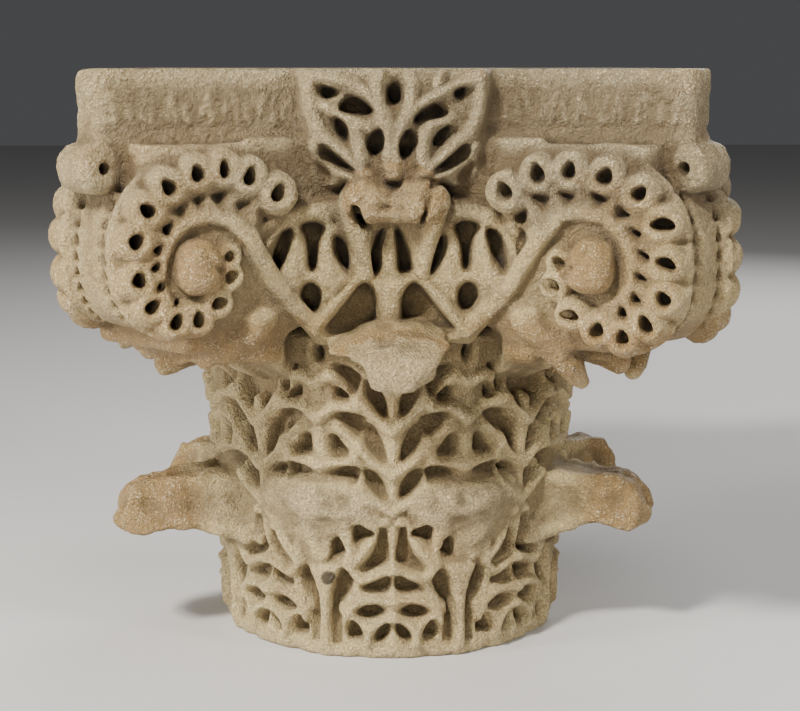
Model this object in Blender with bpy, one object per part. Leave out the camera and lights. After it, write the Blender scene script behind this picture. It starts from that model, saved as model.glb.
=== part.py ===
"""Carved marble column capital of the composite order: bell, two tiers of leaves, four corner
volutes and a concave-sided abacus, all cut from one block. Metres, +Z up. The origin is the
centre of the round bed that sits on the shaft, and the front looks along -Y."""

from math import cos, hypot, pi, radians, sin, sqrt

import bmesh
import bpy
from mathutils import Vector

# Overall sizes
HEIGHT = 0.300
FOOT_RADIUS = 0.0865
BELL_FLARE = 0.0335
FOOT_BEVEL = 0.0015
ABACUS_HALF_WIDTH = 0.1475
ABACUS_HEIGHT = 0.0365
ABACUS_SAGITTA = 0.0235
ABACUS_CORNER_CUT = 0.011
RELIEF = 0.0055

# Abacus mouldings, from the top down
FILLET_HEIGHT = 0.0090
BAND_RECESS = 0.0022
MOULDING_HEIGHT = 0.0078

# Volutes
VOLUTE_CENTRE_OUT = 0.089
VOLUTE_FACE_OUT = 0.152
VOLUTE_DROP = 0.0535
VOLUTE_TURN = 17.0
VOLUTE_START_RADIUS = 0.0530
VOLUTE_RIM_RADIUS = 0.0385
VOLUTE_EYE_RADIUS = 0.0150
LOBE_REACH = 0.0118
LOBE_COUNT = 14
LOBE_START = 138.0
LOBE_SWEEP = 323.0
RIM_GROOVE = 0.0055
CORE_RECESS = 0.0140
KNOB_RADIUS = 0.0125
KNOB_REACH = 0.0090
BAND_RADIUS = 0.0042

# Rolls under the abacus corners
ROLL_RADIUS = 0.0108
ROLL_HALF_LENGTH = 0.0100
ROLL_OUT = 0.2000

# Leaves: the lower ones' height from the bed, the drop from the abacus to the tops of the upper ones in
# the middle of the sides, and how far each tip stands out of the bell's foot
LEAVES_PER_TIER = 8
LOWER_LEAF_HEIGHT = 0.0905
LOWER_LEAF_HALF_WIDTH = 0.0300
LOWER_TIP_THICKNESS = 0.0290
LEFT_TIP_REACH = 0.0695
RIGHT_TIP_REACH = 0.0605
REAR_TIP_REACH = 0.0535
BROKEN_TIP_REACH = 0.0245
TIER_OVERLAP = 0.0065
UPPER_LEAF_HALF_WIDTH = 0.0290
FACE_LEAF_DROP = 0.0820
FACE_TIP_THICKNESS = 0.0325
FACE_TIP_REACH = 0.0645
CORNER_TIP_THICKNESS = 0.0180
CORNER_TIP_SINK = 0.0145
CORNER_TIP_REACH = 0.0735
LEAF_RIB = 0.0022
LEAF_ROOT = 0.0080
STEM_RADIUS = 0.0038

# Lyre, fleuron and boss at the middle of each side
PANEL_OUT = 0.0185
LYRE_HALF_WIDTH = 0.041
LYRE_BAR_RADIUS = 0.0045
FLEURON_HALF_WIDTH = 0.041
FLEURON_HEIGHT = 0.0525
FLEURON_STAND = 0.0020
FLEURON_THICKNESS = 0.0300
BOSS_HALF_WIDTH = 0.0225
BOSS_HEIGHT = 0.0210
BOSS_STAND = 0.0085

# Drilled holes, with their outlines in shares of the length and the width
TEARDROP = ((0.60, 0.0), (-0.10, 0.5), (-0.40, 0.0), (-0.10, -0.5))
WEDGE = ((0.60, 0.0), (-0.40, 0.5), (-0.40, -0.5))
DRILL_DEPTH = 0.0100
FLEURON_DRILL_DEPTH = 0.0140
EYE_LENGTH = 0.0105
EYE_WIDTH = 0.0060
ROLL_EYE = 0.0060

# Laid out from the sizes above
BELL_HEIGHT = HEIGHT - ABACUS_HEIGHT
BELL_TOP_RADIUS = FOOT_RADIUS + BELL_FLARE
VOLUTE_HEIGHT = BELL_HEIGHT - VOLUTE_DROP
VOLUTE_FOOT = VOLUTE_HEIGHT - VOLUTE_RIM_RADIUS
LOWER_TIP_UNDER = LOWER_LEAF_HEIGHT - LOWER_TIP_THICKNESS
UPPER_LEAF_FOOT = LOWER_LEAF_HEIGHT - TIER_OVERLAP
FACE_LEAF_HEIGHT = BELL_HEIGHT - FACE_LEAF_DROP
FACE_TIP_UNDER = FACE_LEAF_HEIGHT - FACE_TIP_THICKNESS
CORNER_TIP_UNDER = VOLUTE_FOOT - CORNER_TIP_SINK
CORNER_LEAF_HEIGHT = CORNER_TIP_UNDER + CORNER_TIP_THICKNESS
LYRE_FOOT = FACE_LEAF_HEIGHT - 0.011
FLEURON_OUT = ABACUS_HALF_WIDTH - FLEURON_STAND
BOSS_OUT = ABACUS_HALF_WIDTH - BOSS_STAND

BELL_STEPS = 24
KNOB_STEPS = 6
ROLL_STEPS = 8
SIDES = 4
FRONT = 0
BACK = 2
SEAT = 0.001
OVERLAP = 0.002
FLATNESS = 0.00001
FORMS = "carved forms"
DRILLINGS = "drillings"
MARBLE = (0.62, 0.53, 0.40, 1.0)


def clear_scene():
    for thing in list(bpy.data.objects):
        bpy.data.objects.remove(thing)


def collection(name):
    made = bpy.data.collections.new(name)
    bpy.context.scene.collection.children.link(made)
    return made


def ring(count, half_step=0.0):
    """Evenly spaced angles of a full turn."""
    return [2 * pi * (i + half_step) / count for i in range(count)]


def is_flat(face):
    """Whether every corner of a face lies in its plane."""
    middle = face.calc_center_median()
    return all(abs(face.normal.dot(v.co - middle)) < FLATNESS for v in face.verts)


def closed_mesh(name, points, faces):
    """A mesh with its faces turned outwards, and those that aren't flat cut into triangles."""
    mesh = bpy.data.meshes.new(name)
    mesh.from_pydata([tuple(p) for p in points], [], faces)
    shell = bmesh.new()
    shell.from_mesh(mesh)
    shell.normal_update()
    bmesh.ops.triangulate(shell, faces=[f for f in shell.faces if not is_flat(f)])
    bmesh.ops.recalc_face_normals(shell, faces=shell.faces)
    shell.to_mesh(mesh)
    shell.free()
    return mesh


def guide(mesh, group):
    """A solid that only shapes the block, in the collection of forms or of drillings."""
    made = bpy.data.objects.new(mesh.name, mesh)
    made.hide_render = True
    made.display_type = "WIRE"
    bpy.data.collections[group].objects.link(made)


def loft(name, loops):
    """Closed mesh through loops that all have the same number of points."""
    count = len(loops[0])
    points = [p for loop in loops for p in loop]
    faces = [tuple(range(count))[::-1]]
    for level in range(len(loops) - 1):
        low = level * count
        for i in range(count):
            j = (i + 1) % count
            faces.append((low + i, low + j, low + count + j, low + count + i))
    faces.append(tuple(range(len(points) - count, len(points))))
    return closed_mesh(name, points, faces)


def carve(name, loops):
    """A lofted form that is joined to the block."""
    guide(loft(name, loops), FORMS)


def turned(side, point):
    """A point of the front side carried round to another of the four sides."""
    angle = side * pi / 2
    x, y, z = point
    return Vector((x * cos(angle) - y * sin(angle), x * sin(angle) + y * cos(angle), z))


def around(angle, out, across, z):
    """A point at an angle round the axis from the front, by its distance out and its offset."""
    a = radians(angle)
    return Vector((out * sin(a) + across * cos(a), -out * cos(a) + across * sin(a), z))


def bell_radius(z):
    """Ground of the relief: nearly upright below, flaring under the abacus."""
    share = max(0.0, min(1.0, z / BELL_HEIGHT))
    return FOOT_RADIUS + BELL_FLARE * share**2


def bell():
    """The turned core, from the bed to inside the abacus."""
    levels = [0.0, 0.015, 0.4, 0.7, 1.0]
    heights = [share * BELL_HEIGHT for share in levels]
    radii = [bell_radius(z) for z in heights]
    radii[0] -= FOOT_BEVEL
    heights.append(BELL_HEIGHT + ABACUS_HEIGHT / 2)
    radii.append(radii[-1])
    loops = []
    for z, radius in zip(heights, radii):
        loops.append([Vector((radius * cos(a), radius * sin(a), z)) for a in ring(BELL_STEPS)])
    return loft("capital", loops)


def abacus_outline(inset, z, arc_steps=5):
    """Four hollow sides and four cut corners, anticlockwise from the front left corner."""
    reach = ABACUS_HALF_WIDTH - ABACUS_CORNER_CUT
    shrink = 1 - inset / ABACUS_HALF_WIDTH
    outline = []
    for side in range(SIDES):
        for i in range(arc_steps + 1):
            share = 2 * i / arc_steps - 1
            out = ABACUS_HALF_WIDTH - ABACUS_SAGITTA * (1 - share * share)
            outline.append(turned(side, (reach * share * shrink, -out * shrink, z)))
    return outline


def abacus():
    """Slab with a rounded moulding below, a sunk band and a fillet on top."""
    fillet = HEIGHT - FILLET_HEIGHT
    levels = [
        (BELL_HEIGHT, BAND_RECESS),
        (BELL_HEIGHT + MOULDING_HEIGHT / 2, 0.0),
        (BELL_HEIGHT + MOULDING_HEIGHT, BAND_RECESS),
        (fillet, BAND_RECESS),
        (fillet + BAND_RECESS / 2, 0.0),
        (HEIGHT, 0.0),
    ]
    carve("abacus", [abacus_outline(inset, z) for z, inset in levels])


def lobe_radius(share):
    """Distance of a lobe's drilled eye from the volute's centre, from the first lobe to the last."""
    if share < 0.3:
        ease = (1 - share / 0.3) ** 1.6
        return VOLUTE_RIM_RADIUS + (VOLUTE_START_RADIUS - VOLUTE_RIM_RADIUS) * ease
    if share < 0.58:
        return VOLUTE_RIM_RADIUS
    ease = (share - 0.58) / 0.42
    return VOLUTE_RIM_RADIUS - (VOLUTE_RIM_RADIUS - VOLUTE_EYE_RADIUS) * ease**0.8


def lobe_place(index, reach=0.0):
    """Position in the volute's face of a lobe's eye, or of a point further out than it."""
    share = index / (LOBE_COUNT - 1)
    angle = radians(LOBE_START - LOBE_SWEEP * share)
    radius = lobe_radius(max(0.0, min(1.0, share))) + reach
    return radius * cos(angle), radius * sin(angle)


def volute_point(side, hand, across, up, out=0.0):
    """A point by its place in the face of a volute: across to the corner, up, and out of the face."""
    turn = radians(VOLUTE_TURN)
    x = VOLUTE_CENTRE_OUT + across * cos(turn) - out * sin(turn)
    y = -VOLUTE_FACE_OUT - across * sin(turn) - out * cos(turn)
    return turned(side, (hand * x, y, VOLUTE_HEIGHT + up))


def volute_outline():
    """Scalloped snail shape of a volute's face: leaf lobes outside, closed by the eye."""
    places = []
    for i in range(LOBE_COUNT):
        places.append(lobe_place(i - 0.46, LOBE_REACH * 0.62))
        if i < LOBE_COUNT - 4:
            places.append(lobe_place(i - 0.2, LOBE_REACH))
            places.append(lobe_place(i + 0.2, LOBE_REACH))
        else:
            places.append(lobe_place(i, LOBE_REACH * 0.95))
    eye = VOLUTE_EYE_RADIUS
    start = VOLUTE_START_RADIUS
    places.append((-1.45 * eye, 0.70 * eye))
    places.append((-0.68 * start, 0.02 * start))
    places.append((-0.85 * start, 0.30 * start))
    return places


def corner_point(corner, place, lean, sink):
    """A point of the corner block: lean 0 is on one face, 1 on the other, and sink is towards the middle."""
    across, up = place
    shrink = 1 - sink / hypot(across, up)
    first = volute_point(corner, 1, across * shrink, up * shrink)
    second = volute_point(corner + 1, -1, across * shrink, up * shrink)
    return first.lerp(second, lean)


def corner_volutes(corner):
    """The block between a corner's two volute faces, with a hollow channel along its rim."""
    places = volute_outline()
    levels = [(0.0, 0.0), (0.5, RIM_GROOVE), (1.0, 0.0)]
    carve(f"volutes_{corner}", [[corner_point(corner, p, lean, sink) for p in places] for lean, sink in levels])


def corner_core(corner):
    """Stone between the bell and the corner block, under the abacus."""
    near = BELL_TOP_RADIUS
    inside = (0.2 * near, 0.2 * near)
    plan = [(0.3 * near, 0.9 * near), (0.75 * near, VOLUTE_FACE_OUT - CORE_RECESS)]
    outline = [inside] + plan + [(y, x) for x, y in reversed(plan)]
    loops = []
    for z, shrink in ((VOLUTE_FOOT + CORE_RECESS / 2, 0.88), (BELL_HEIGHT + OVERLAP, 1.0)):
        loops.append([turned(corner, (x * shrink, -y * shrink, z)) for x, y in outline])
    carve(f"corner_core_{corner}", loops)


def knob(side, hand):
    """Worn boss at the eye of a volute."""
    loops = []
    for share in (-0.5, 0.15, 0.85):
        radius = KNOB_RADIUS * sqrt(1 - max(share, 0.0) ** 2)
        places = [(radius * cos(a), radius * sin(a)) for a in ring(KNOB_STEPS)]
        loops.append([volute_point(side, hand, x, y, KNOB_REACH * share) for x, y in places])
    carve(f"knob_{side}_{hand}", loops)


def rod(name, path, radii):
    """Square bar along a path, with one face turned outwards."""
    loops = []
    for i, (centre, radius) in enumerate(zip(path, radii)):
        ahead = (path[min(i + 1, len(path) - 1)] - path[max(i - 1, 0)]).normalized()
        level = Vector((-centre.y, centre.x, 0.0)).normalized()
        across = (level - ahead * level.dot(ahead)).normalized()
        normal = ahead.cross(across)
        turns = ring(4, 0.5)
        loops.append([centre + (across * cos(a) + normal * sin(a)) * radius for a in turns])
    carve(name, loops)


def spiral_band(side, hand):
    """Raised stem that climbs from the foot of the lyre and curls over the knob."""
    curl = KNOB_RADIUS + BAND_RADIUS
    foot_out = panel_out(LYRE_FOOT) + OVERLAP
    foot = turned(side, (hand * (LYRE_HALF_WIDTH + BAND_RADIUS / 2), -foot_out, LYRE_FOOT))
    bend = volute_point(side, hand, -1.15 * curl, 0.40 * curl)
    path = [foot, foot.lerp(bend, 0.6), bend]
    for turn in (100, 50, 0, -35):
        a = radians(turn)
        path.append(volute_point(side, hand, curl * cos(a), curl * sin(a), BAND_RADIUS / 3))
    widths = [1.0, 1.15, 1.1, 1.05, 1.0, 0.85, 0.6]
    rod(f"spiral_{side}_{hand}", path, [BAND_RADIUS * w for w in widths])


def drill(name, mouth, inward, along, length, width, depth, shape):
    """Hole that narrows to a point, as a running drill leaves it. The cutter starts outside the stone."""
    inward = inward.normalized()
    along = (along - inward * along.dot(inward)).normalized()
    across = inward.cross(along)
    lead = 0.35
    start = mouth - inward * (depth * lead)
    points = [start + (along * (u * length) + across * (v * width)) * (1 + lead) for u, v in shape]
    points.append(mouth + inward * depth)
    count = len(shape)
    faces = [(i, (i + 1) % count, count) for i in range(count)]
    faces.append(tuple(range(count))[::-1])
    guide(closed_mesh(name, points, faces), DRILLINGS)


def volute_eyes(side, hand):
    """A drilled eye in every lobe, or in every other one behind."""
    centre = volute_point(side, hand, 0, 0)
    inward = volute_point(side, hand, 0, 0, -1.0) - centre
    for i in range(0, LOBE_COUNT - 1, 2 if centre.y > 0 else 1):
        mouth = volute_point(side, hand, *lobe_place(i))
        name = f"lobe_eye_{side}_{hand}_{i}"
        drill(name, mouth, inward, mouth - centre, EYE_LENGTH, EYE_WIDTH, DRILL_DEPTH, TEARDROP)


def corner_roll(corner):
    """Short roll under the corner of the abacus, its ends drilled on the corners that show."""
    angle = 45 + 90 * corner
    height = BELL_HEIGHT - ROLL_RADIUS * 0.8
    places = [(ROLL_OUT + ROLL_RADIUS * cos(a), height + ROLL_RADIUS * sin(a)) for a in ring(ROLL_STEPS)]
    ends = (-ROLL_HALF_LENGTH, ROLL_HALF_LENGTH)
    carve(f"roll_{corner}", [[around(angle, out, end, z) for out, z in places] for end in ends])
    if around(angle, ROLL_OUT, 0, height).y > 0:
        return
    for end in ends:
        mouth = around(angle, ROLL_OUT, end, height)
        inward = around(angle, ROLL_OUT, 0, height) - mouth
        name = f"roll_eye_{corner}_{end > 0}"
        drill(name, mouth, inward, Vector((0, 0, 1)), ROLL_EYE, ROLL_EYE, ROLL_HALF_LENGTH * 0.8, TEARDROP)


def leaf(name, angle, stations, half_width):
    """Leaf that climbs the bell and curls out. Each station gives the outer or under face, the back
    or upper face, the share of the width, and how far it wraps round the bell."""
    loops = []
    for (out, z), (back, back_z), share, wrap in stations:
        half = half_width * share
        loop = []
        for across, raised in ((-1.0, -0.5), (0.0, 1.0), (1.0, -0.5)):
            offset = half * across
            hug = (out - sqrt(max(out * out - offset * offset, 0.0))) * wrap
            rise = LEAF_RIB * raised
            loop.append(around(angle, out - hug + rise * wrap, offset, z - rise * (1 - wrap)))
        for across in (0.75, -0.75):
            offset = half * across
            hug = (back - sqrt(max(back * back - offset * offset, 0.0))) * wrap
            loop.append(around(angle, back - hug, offset, back_z))
        loops.append(loop)
    carve(name, loops)


def lower_stations(stand):
    """Sections of a lower leaf, up the bell and out to a tip that stands off the bell's foot."""
    top = LOWER_LEAF_HEIGHT
    under = LOWER_TIP_UNDER
    foot = FOOT_RADIUS + RELIEF
    root = FOOT_RADIUS - LEAF_ROOT
    reach = FOOT_RADIUS + stand
    stations = [
        ((foot - 0.0010, SEAT), (root, SEAT), 0.96, 1.0),
        ((foot, 0.36 * under), (root, 0.43 * under), 1.06, 1.0),
        ((foot, 0.55 * under), (root, 0.62 * under), 0.86, 1.0),
        ((foot + 0.003, 0.79 * under), (root, 0.82 * top), 1.06, 0.95),
    ]
    span = reach - foot
    if stand == BROKEN_TIP_REACH:
        stations.append(((foot + 0.74 * span, 0.97 * under), (foot - 0.20 * span, 0.97 * top), 0.92, 0.6))
        stations.append(((reach, 0.76 * top), (foot + 0.21 * span, 1.03 * top), 0.70, 0.6))
        return stations
    stations += [
        ((foot + 0.24 * span, 0.96 * under), (foot - 0.10 * span, 0.97 * top), 0.70, 0.4),
        ((foot + 0.45 * span, under), (foot + 0.30 * span, top), 0.62, 0.0),
        ((foot + 0.84 * span, 1.02 * under), (foot + 0.80 * span, 0.98 * top), 0.56, 0.0),
        ((reach, 1.15 * under), (reach, 0.89 * top), 0.38, 0.0),
    ]
    return stations


def upper_stations(top, under, stand, worn):
    """Sections of an upper leaf, up the bell and out to a blunt tip, narrower where it is worn."""
    foot = UPPER_LEAF_FOOT
    climb = under - foot
    stations = []
    for share, wide in ((0.0, 0.80), (0.24, 1.0), (0.48, 0.82), (0.74, 1.04)):
        z = foot + climb * share
        ground = bell_radius(z)
        stations.append(((ground + RELIEF, z), (ground - LEAF_ROOT, z), wide, 1.0))
    z = foot + climb * 0.92
    start = bell_radius(z) + RELIEF
    tip = FOOT_RADIUS + stand
    span = tip - start
    thick = top - under
    stations += [
        ((start + 0.04 * span, z), (start - 0.24 * span, under + 0.1 * thick), 0.88, 0.9),
        ((start + 0.28 * span, under), (start - 0.08 * span, under + 0.7 * thick), 0.96, 0.4),
        ((start + 0.82 * span, under - 0.01 * thick), (start + 0.66 * span, top), 0.90 * worn, 0.0),
        ((tip, under + 0.32 * thick), (tip, top - 0.36 * thick), 0.55 * worn, 0.0),
    ]
    return stations


def leaf_drillings(name, angle, places):
    """Holes on both sides of a leaf's rib: each is (degrees from the rib, height, lean, length, width)."""
    for number, (off, z, lean, length, width) in enumerate(places):
        for hand in (-1, 1):
            at = angle + hand * off
            mouth = around(at, bell_radius(z) + RELIEF, 0, z)
            inward = around(at, 0, 0, z) - mouth
            sideways = around(at, 0, 1, z) - around(at, 0, 0, z)
            along = sideways * (hand * sin(radians(lean))) + Vector((0, 0, cos(radians(lean))))
            drill(f"{name}_hole_{number}_{hand > 0}", mouth, inward, along, length, width, DRILL_DEPTH, WEDGE)


def lower_leaves():
    """Eight leaves round the foot. The tips are as long as what is left of them."""
    step = 360 / LEAVES_PER_TIER
    tall = LOWER_LEAF_HEIGHT
    stands = [BROKEN_TIP_REACH, RIGHT_TIP_REACH]
    stands += [REAR_TIP_REACH] * (LEAVES_PER_TIER - 4)
    stands += [LEFT_TIP_REACH, BROKEN_TIP_REACH]
    holes = [
        (0.325 * step, 0.28 * tall, 90, 0.0120, 0.0055),
        (0.320 * step, 0.49 * tall, 62, 0.0135, 0.0060),
        (0.325 * step, 0.12 * tall, -150, 0.0095, 0.0060),
    ]
    for i, stand in enumerate(stands):
        angle = step * (i + 0.5)
        shown = cos(radians(angle)) > 0
        leaf(f"lower_leaf_{i}", angle, lower_stations(stand), LOWER_LEAF_HALF_WIDTH)
        leaf_drillings(f"lower_{i}", angle, holes if shown else holes[:2])


def upper_leaves():
    """Eight leaves above: four in the middle of the sides, four under the corners."""
    step = 360 / LEAVES_PER_TIER
    low = UPPER_LEAF_FOOT
    for i in range(LEAVES_PER_TIER):
        angle = step * i
        shown = cos(radians(angle)) > -0.1
        if i % 2:
            climb = CORNER_TIP_UNDER - low
            stations = upper_stations(CORNER_LEAF_HEIGHT, CORNER_TIP_UNDER, CORNER_TIP_REACH, 1.0)
        else:
            climb = FACE_TIP_UNDER - low
            stations = upper_stations(FACE_LEAF_HEIGHT, FACE_TIP_UNDER, FACE_TIP_REACH, 0.85)
        holes = [
            (0.147 * step, low + 0.27 * climb, -20, 0.0165, 0.0068),
            (0.160 * step, low + 0.78 * climb, -18, 0.0175, 0.0072),
            (0.290 * step, low + 0.50 * climb, 66, 0.0135, 0.0062),
        ]
        leaf(f"upper_leaf_{i}", angle, stations, UPPER_LEAF_HALF_WIDTH)
        leaf_drillings(f"upper_{i}", angle, holes if shown else holes[:2])


def stems():
    """Upright stems between the leaves: short ones below, long ones above."""
    step = 360 / LEAVES_PER_TIER
    sink = STEM_RADIUS / 4
    for i in range(LEAVES_PER_TIER):
        low = [SEAT, UPPER_LEAF_FOOT + OVERLAP]
        path = [around(step * i, bell_radius(z) + RELIEF - sink, 0, z) for z in low]
        rod(f"lower_stem_{i}", path, [STEM_RADIUS] * 2)
        high = [UPPER_LEAF_FOOT - OVERLAP, LYRE_FOOT + OVERLAP]
        path = [around(step * (i + 0.5), bell_radius(z) + RELIEF, 0, z) for z in high]
        rod(f"upper_stem_{i}", path, [STEM_RADIUS] * 2)


def panel_out(z):
    """Distance out of the panel between two volutes, which leans outwards."""
    share = (z - LYRE_FOOT) / (BELL_HEIGHT - LYRE_FOOT)
    return FOOT_RADIUS + PANEL_OUT * (1 + 0.8 * share)


def panel(side):
    """Ground between the two volutes of a side, a little proud in the middle."""
    ridge = PANEL_OUT * 0.4
    depth = FOOT_RADIUS / 2
    loops = []
    for z, half in ((LYRE_FOOT - OVERLAP, 1.25), (VOLUTE_HEIGHT, 1.5), (BELL_HEIGHT + OVERLAP, 1.5)):
        out = panel_out(z)
        wide = half * LYRE_HALF_WIDTH
        plan = [(-wide, ridge - out), (0, -out), (wide, ridge - out), (wide, -depth), (-wide, -depth)]
        loops.append([turned(side, (x, y, z)) for x, y in plan])
    carve(f"panel_{side}", loops)


def bar(name, side, hand, places, widths):
    """Carved bar on the panel, by its places across, up and out, as shares of the lyre."""
    rise = HEIGHT - FLEURON_HEIGHT - BOSS_HEIGHT / 2 - LYRE_FOOT
    path = []
    for across, up, out in places:
        z = LYRE_FOOT + up * rise
        y = -panel_out(z) - out * PANEL_OUT
        path.append(turned(side, (hand * across * LYRE_HALF_WIDTH, y, z)))
    rod(name, path, [LYRE_BAR_RADIUS * w for w in widths])


def lyre(side):
    """Forked stems that meet at the boss, an arch and a finger in each loop, and a trunk between."""
    inner = [(1, 0, 0.1), (0.54, 0.45, 0.25), (0.44, 1, 0.6)]
    arch = [(1.46, 0.55, 0.7), (1.07, 1, 0.45), (0.56, 0.74, 0.3)]
    finger = [(0.98, 0.34, 0.15), (0.93, 0.62, 0.3), (0.98, 0.92, 0.25)]
    for hand in (-1, 1):
        bar(f"inner_stem_{side}_{hand}", side, hand, inner, [1, 1, 1.2])
        if side != BACK:
            bar(f"arch_{side}_{hand}", side, hand, arch, [0.9, 1, 0.9])
        if side == FRONT:
            bar(f"finger_{hand}", side, hand, finger, [0.55, 1.1, 0.65])
    bar(f"trunk_{side}", side, 1, [(0, -0.06, 0.2), (0, 1, 0.5)], [1.65, 1.2])


def boss(side):
    """Curled leaf tip, broken off, under the fleuron."""
    height = HEIGHT - FLEURON_HEIGHT - BOSS_HEIGHT / 2
    loops = []
    for out, shrink in ((panel_out(height) - OVERLAP, 1.0), (BOSS_OUT, 0.84)):
        wide = BOSS_HALF_WIDTH * shrink
        tall = BOSS_HEIGHT / sqrt(3) * shrink
        loops.append([turned(side, (wide * cos(a), -out, height + tall * sin(a))) for a in ring(6)])
    carve(f"boss_{side}", loops)


def fleuron(side):
    """Palmette that climbs over the middle of the abacus."""
    half = FLEURON_HALF_WIDTH
    tall = FLEURON_HEIGHT
    low = HEIGHT - tall
    right = [(0.12, 0.0), (0.45, 0.12), (0.82, 0.05), (0.74, 0.36), (0.98, 0.66), (0.96, 0.90), (0.80, 0.985)]
    outline = right + [(-x, z) for x, z in reversed(right)]
    edge = FLEURON_THICKNESS / 10
    loops = []
    for out, shrink in ((FLEURON_OUT - FLEURON_THICKNESS, 1.0), (FLEURON_OUT - edge, 1.0), (FLEURON_OUT, 0.95)):
        places = [(half * x * shrink, low + tall * (0.5 + (z - 0.5) * shrink)) for x, z in outline]
        loops.append([turned(side, (x, -out, z)) for x, z in places])
    carve(f"fleuron_{side}", loops)
    inward = turned(side, (0, 1, 0))
    holes = [
        (0.0, 0.80, 0, 0.0110, 0.0064),
        (0.19, 0.37, 12, 0.0130, 0.0074),
        (0.58, 0.49, -38, 0.0125, 0.0060),
        (0.42, 0.62, 48, 0.0150, 0.0056),
        (0.68, 0.265, 62, 0.0160, 0.0050),
    ]
    for number, (x, z, lean, length, width) in enumerate(holes[:3] if side == BACK else holes):
        for hand in (-1, 1) if x else (1,):
            mouth = turned(side, (hand * half * x, -FLEURON_OUT, low + tall * z))
            along = turned(side, (-hand * sin(radians(lean)), 0, cos(radians(lean))))
            name = f"fleuron_hole_{side}_{number}_{hand}"
            drill(name, mouth, inward, along, length, width, FLEURON_DRILL_DEPTH, TEARDROP)


def marble():
    made = bpy.data.materials.new("marble")
    made.use_nodes = True
    shader = made.node_tree.nodes["Principled BSDF"]
    shader.inputs["Base Color"].default_value = MARBLE
    shader.inputs["Roughness"].default_value = 0.62
    shader.inputs["Metallic"].default_value = 0.0
    return made


def combine(body, group, operation):
    made = body.modifiers.new(group, "BOOLEAN")
    made.operation = operation
    made.operand_type = "COLLECTION"
    made.collection = bpy.data.collections[group]
    made.solver = "EXACT"


def main():
    clear_scene()
    collection(FORMS)
    collection(DRILLINGS)
    body = bpy.data.objects.new("capital", bell())
    bpy.context.scene.collection.objects.link(body)
    abacus()
    lower_leaves()
    upper_leaves()
    stems()
    for side in range(SIDES):
        corner_volutes(side)
        corner_core(side)
        corner_roll(side)
        panel(side)
        lyre(side)
        boss(side)
        fleuron(side)
        for hand in (-1, 1):
            knob(side, hand)
            spiral_band(side, hand)
            volute_eyes(side, hand)
    combine(body, FORMS, "UNION")
    combine(body, DRILLINGS, "DIFFERENCE")
    body.data.materials.append(marble())


main()
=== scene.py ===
"""The carved marble capital as it stands: relief, breaks, worn tips and the finish of the old stone.
Lengths in the carving are millimetres on the block, with x to the right, out from the axis towards the
side that is being carved, and z up from the bed. The finished mesh is in metres."""
from math import atan2, cos, hypot, pi, radians, sin

import bpy
import numpy as np
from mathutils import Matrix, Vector

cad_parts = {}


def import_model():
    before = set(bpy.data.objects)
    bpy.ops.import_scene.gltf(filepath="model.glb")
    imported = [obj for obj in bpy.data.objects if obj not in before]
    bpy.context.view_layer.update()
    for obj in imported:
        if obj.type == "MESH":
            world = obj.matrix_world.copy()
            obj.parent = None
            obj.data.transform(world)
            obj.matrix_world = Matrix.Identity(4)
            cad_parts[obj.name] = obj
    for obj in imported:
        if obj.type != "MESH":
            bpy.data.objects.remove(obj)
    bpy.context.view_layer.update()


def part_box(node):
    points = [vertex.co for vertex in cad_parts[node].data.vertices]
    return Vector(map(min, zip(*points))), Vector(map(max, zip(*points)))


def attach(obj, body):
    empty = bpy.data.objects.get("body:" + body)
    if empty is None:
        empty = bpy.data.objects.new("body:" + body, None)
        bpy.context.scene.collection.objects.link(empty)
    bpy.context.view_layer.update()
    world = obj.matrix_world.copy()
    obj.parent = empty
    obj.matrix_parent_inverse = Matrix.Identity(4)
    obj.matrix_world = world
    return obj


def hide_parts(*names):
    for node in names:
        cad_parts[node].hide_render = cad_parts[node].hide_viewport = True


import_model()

NODE_LOW, NODE_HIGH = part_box("capital")
MM = 0.001

# Driving sizes of the block, from the frame and in millimetres
HEIGHT = (NODE_HIGH[2] - NODE_LOW[2]) / MM
REACH = NODE_HIGH[0] / MM
FOOT_RADIUS = 86.5
BELL_FLARE = 33.5
ABACUS_HALF = 147.5
ABACUS_HEIGHT = 36.5
ABACUS_SAGITTA = 23.5
ABACUS_CORNER_CUT = 11.0
FILLET = 9.0
BAND_RECESS = 2.4
MOULDING = 7.8
BELL_TOP = HEIGHT - ABACUS_HEIGHT
RELIEF = 5.5
HOLE_DEPTH = 11.0

# Volutes: the eye's place in plan and height, and the turn of the face towards the corner
EYE_X = 89.0
EYE_OUT = 152.0
EYE_Z = BELL_TOP - 53.5
TURN = radians(17)
FACE_GROUND = 6.0

# Panel between the volutes
PANEL_FOOT = 170.5
PANEL_OUT = 105.0
PANEL_LEAN = 14.8
LYRE_RISE = 9.0
LYRE_SHIFT = 2.0

# Leaves
TIER = 87.0
LEAF_STEP = 22.5
ARC = 95.0
HALF_LEAF = radians(LEAF_STEP) * ARC
# Lower leaves by their angle from the front: those with a tip and how far it reaches, and those without
TONGUES = ((-67.4, 155.0), (67.9, 146.3), (112.5, 141), (-112.5, 133), (157.5, 139), (-157.5, 141))
BROKEN_LEAVES = (-22.5, 22.5)

STEP = 1.0
TRIANGLES = 196000
random = np.random.default_rng(7)


# Distances to begin with, before any shape, hole or stone is near
FAR = 1e6
NO_HOLE = 99
OPEN_AIR = 9

# Unevenness of the worn stone, in millimetres: the size of its lumps and their height
ABACUS_WEAR = ((14, 0.6), (4, 0.5), (2.2, 0.35))
BODY_WEAR = ((11, 0.35), (4, 0.2))
CHIP_DEPTH = 3.4
RIM_HEIGHT = 7
LOST_CORNER = (-152, -152, 306)
LOST_CORNER_RADIUS = 19.0


# Drawing on a face: distances are negative inside a shape

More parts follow.
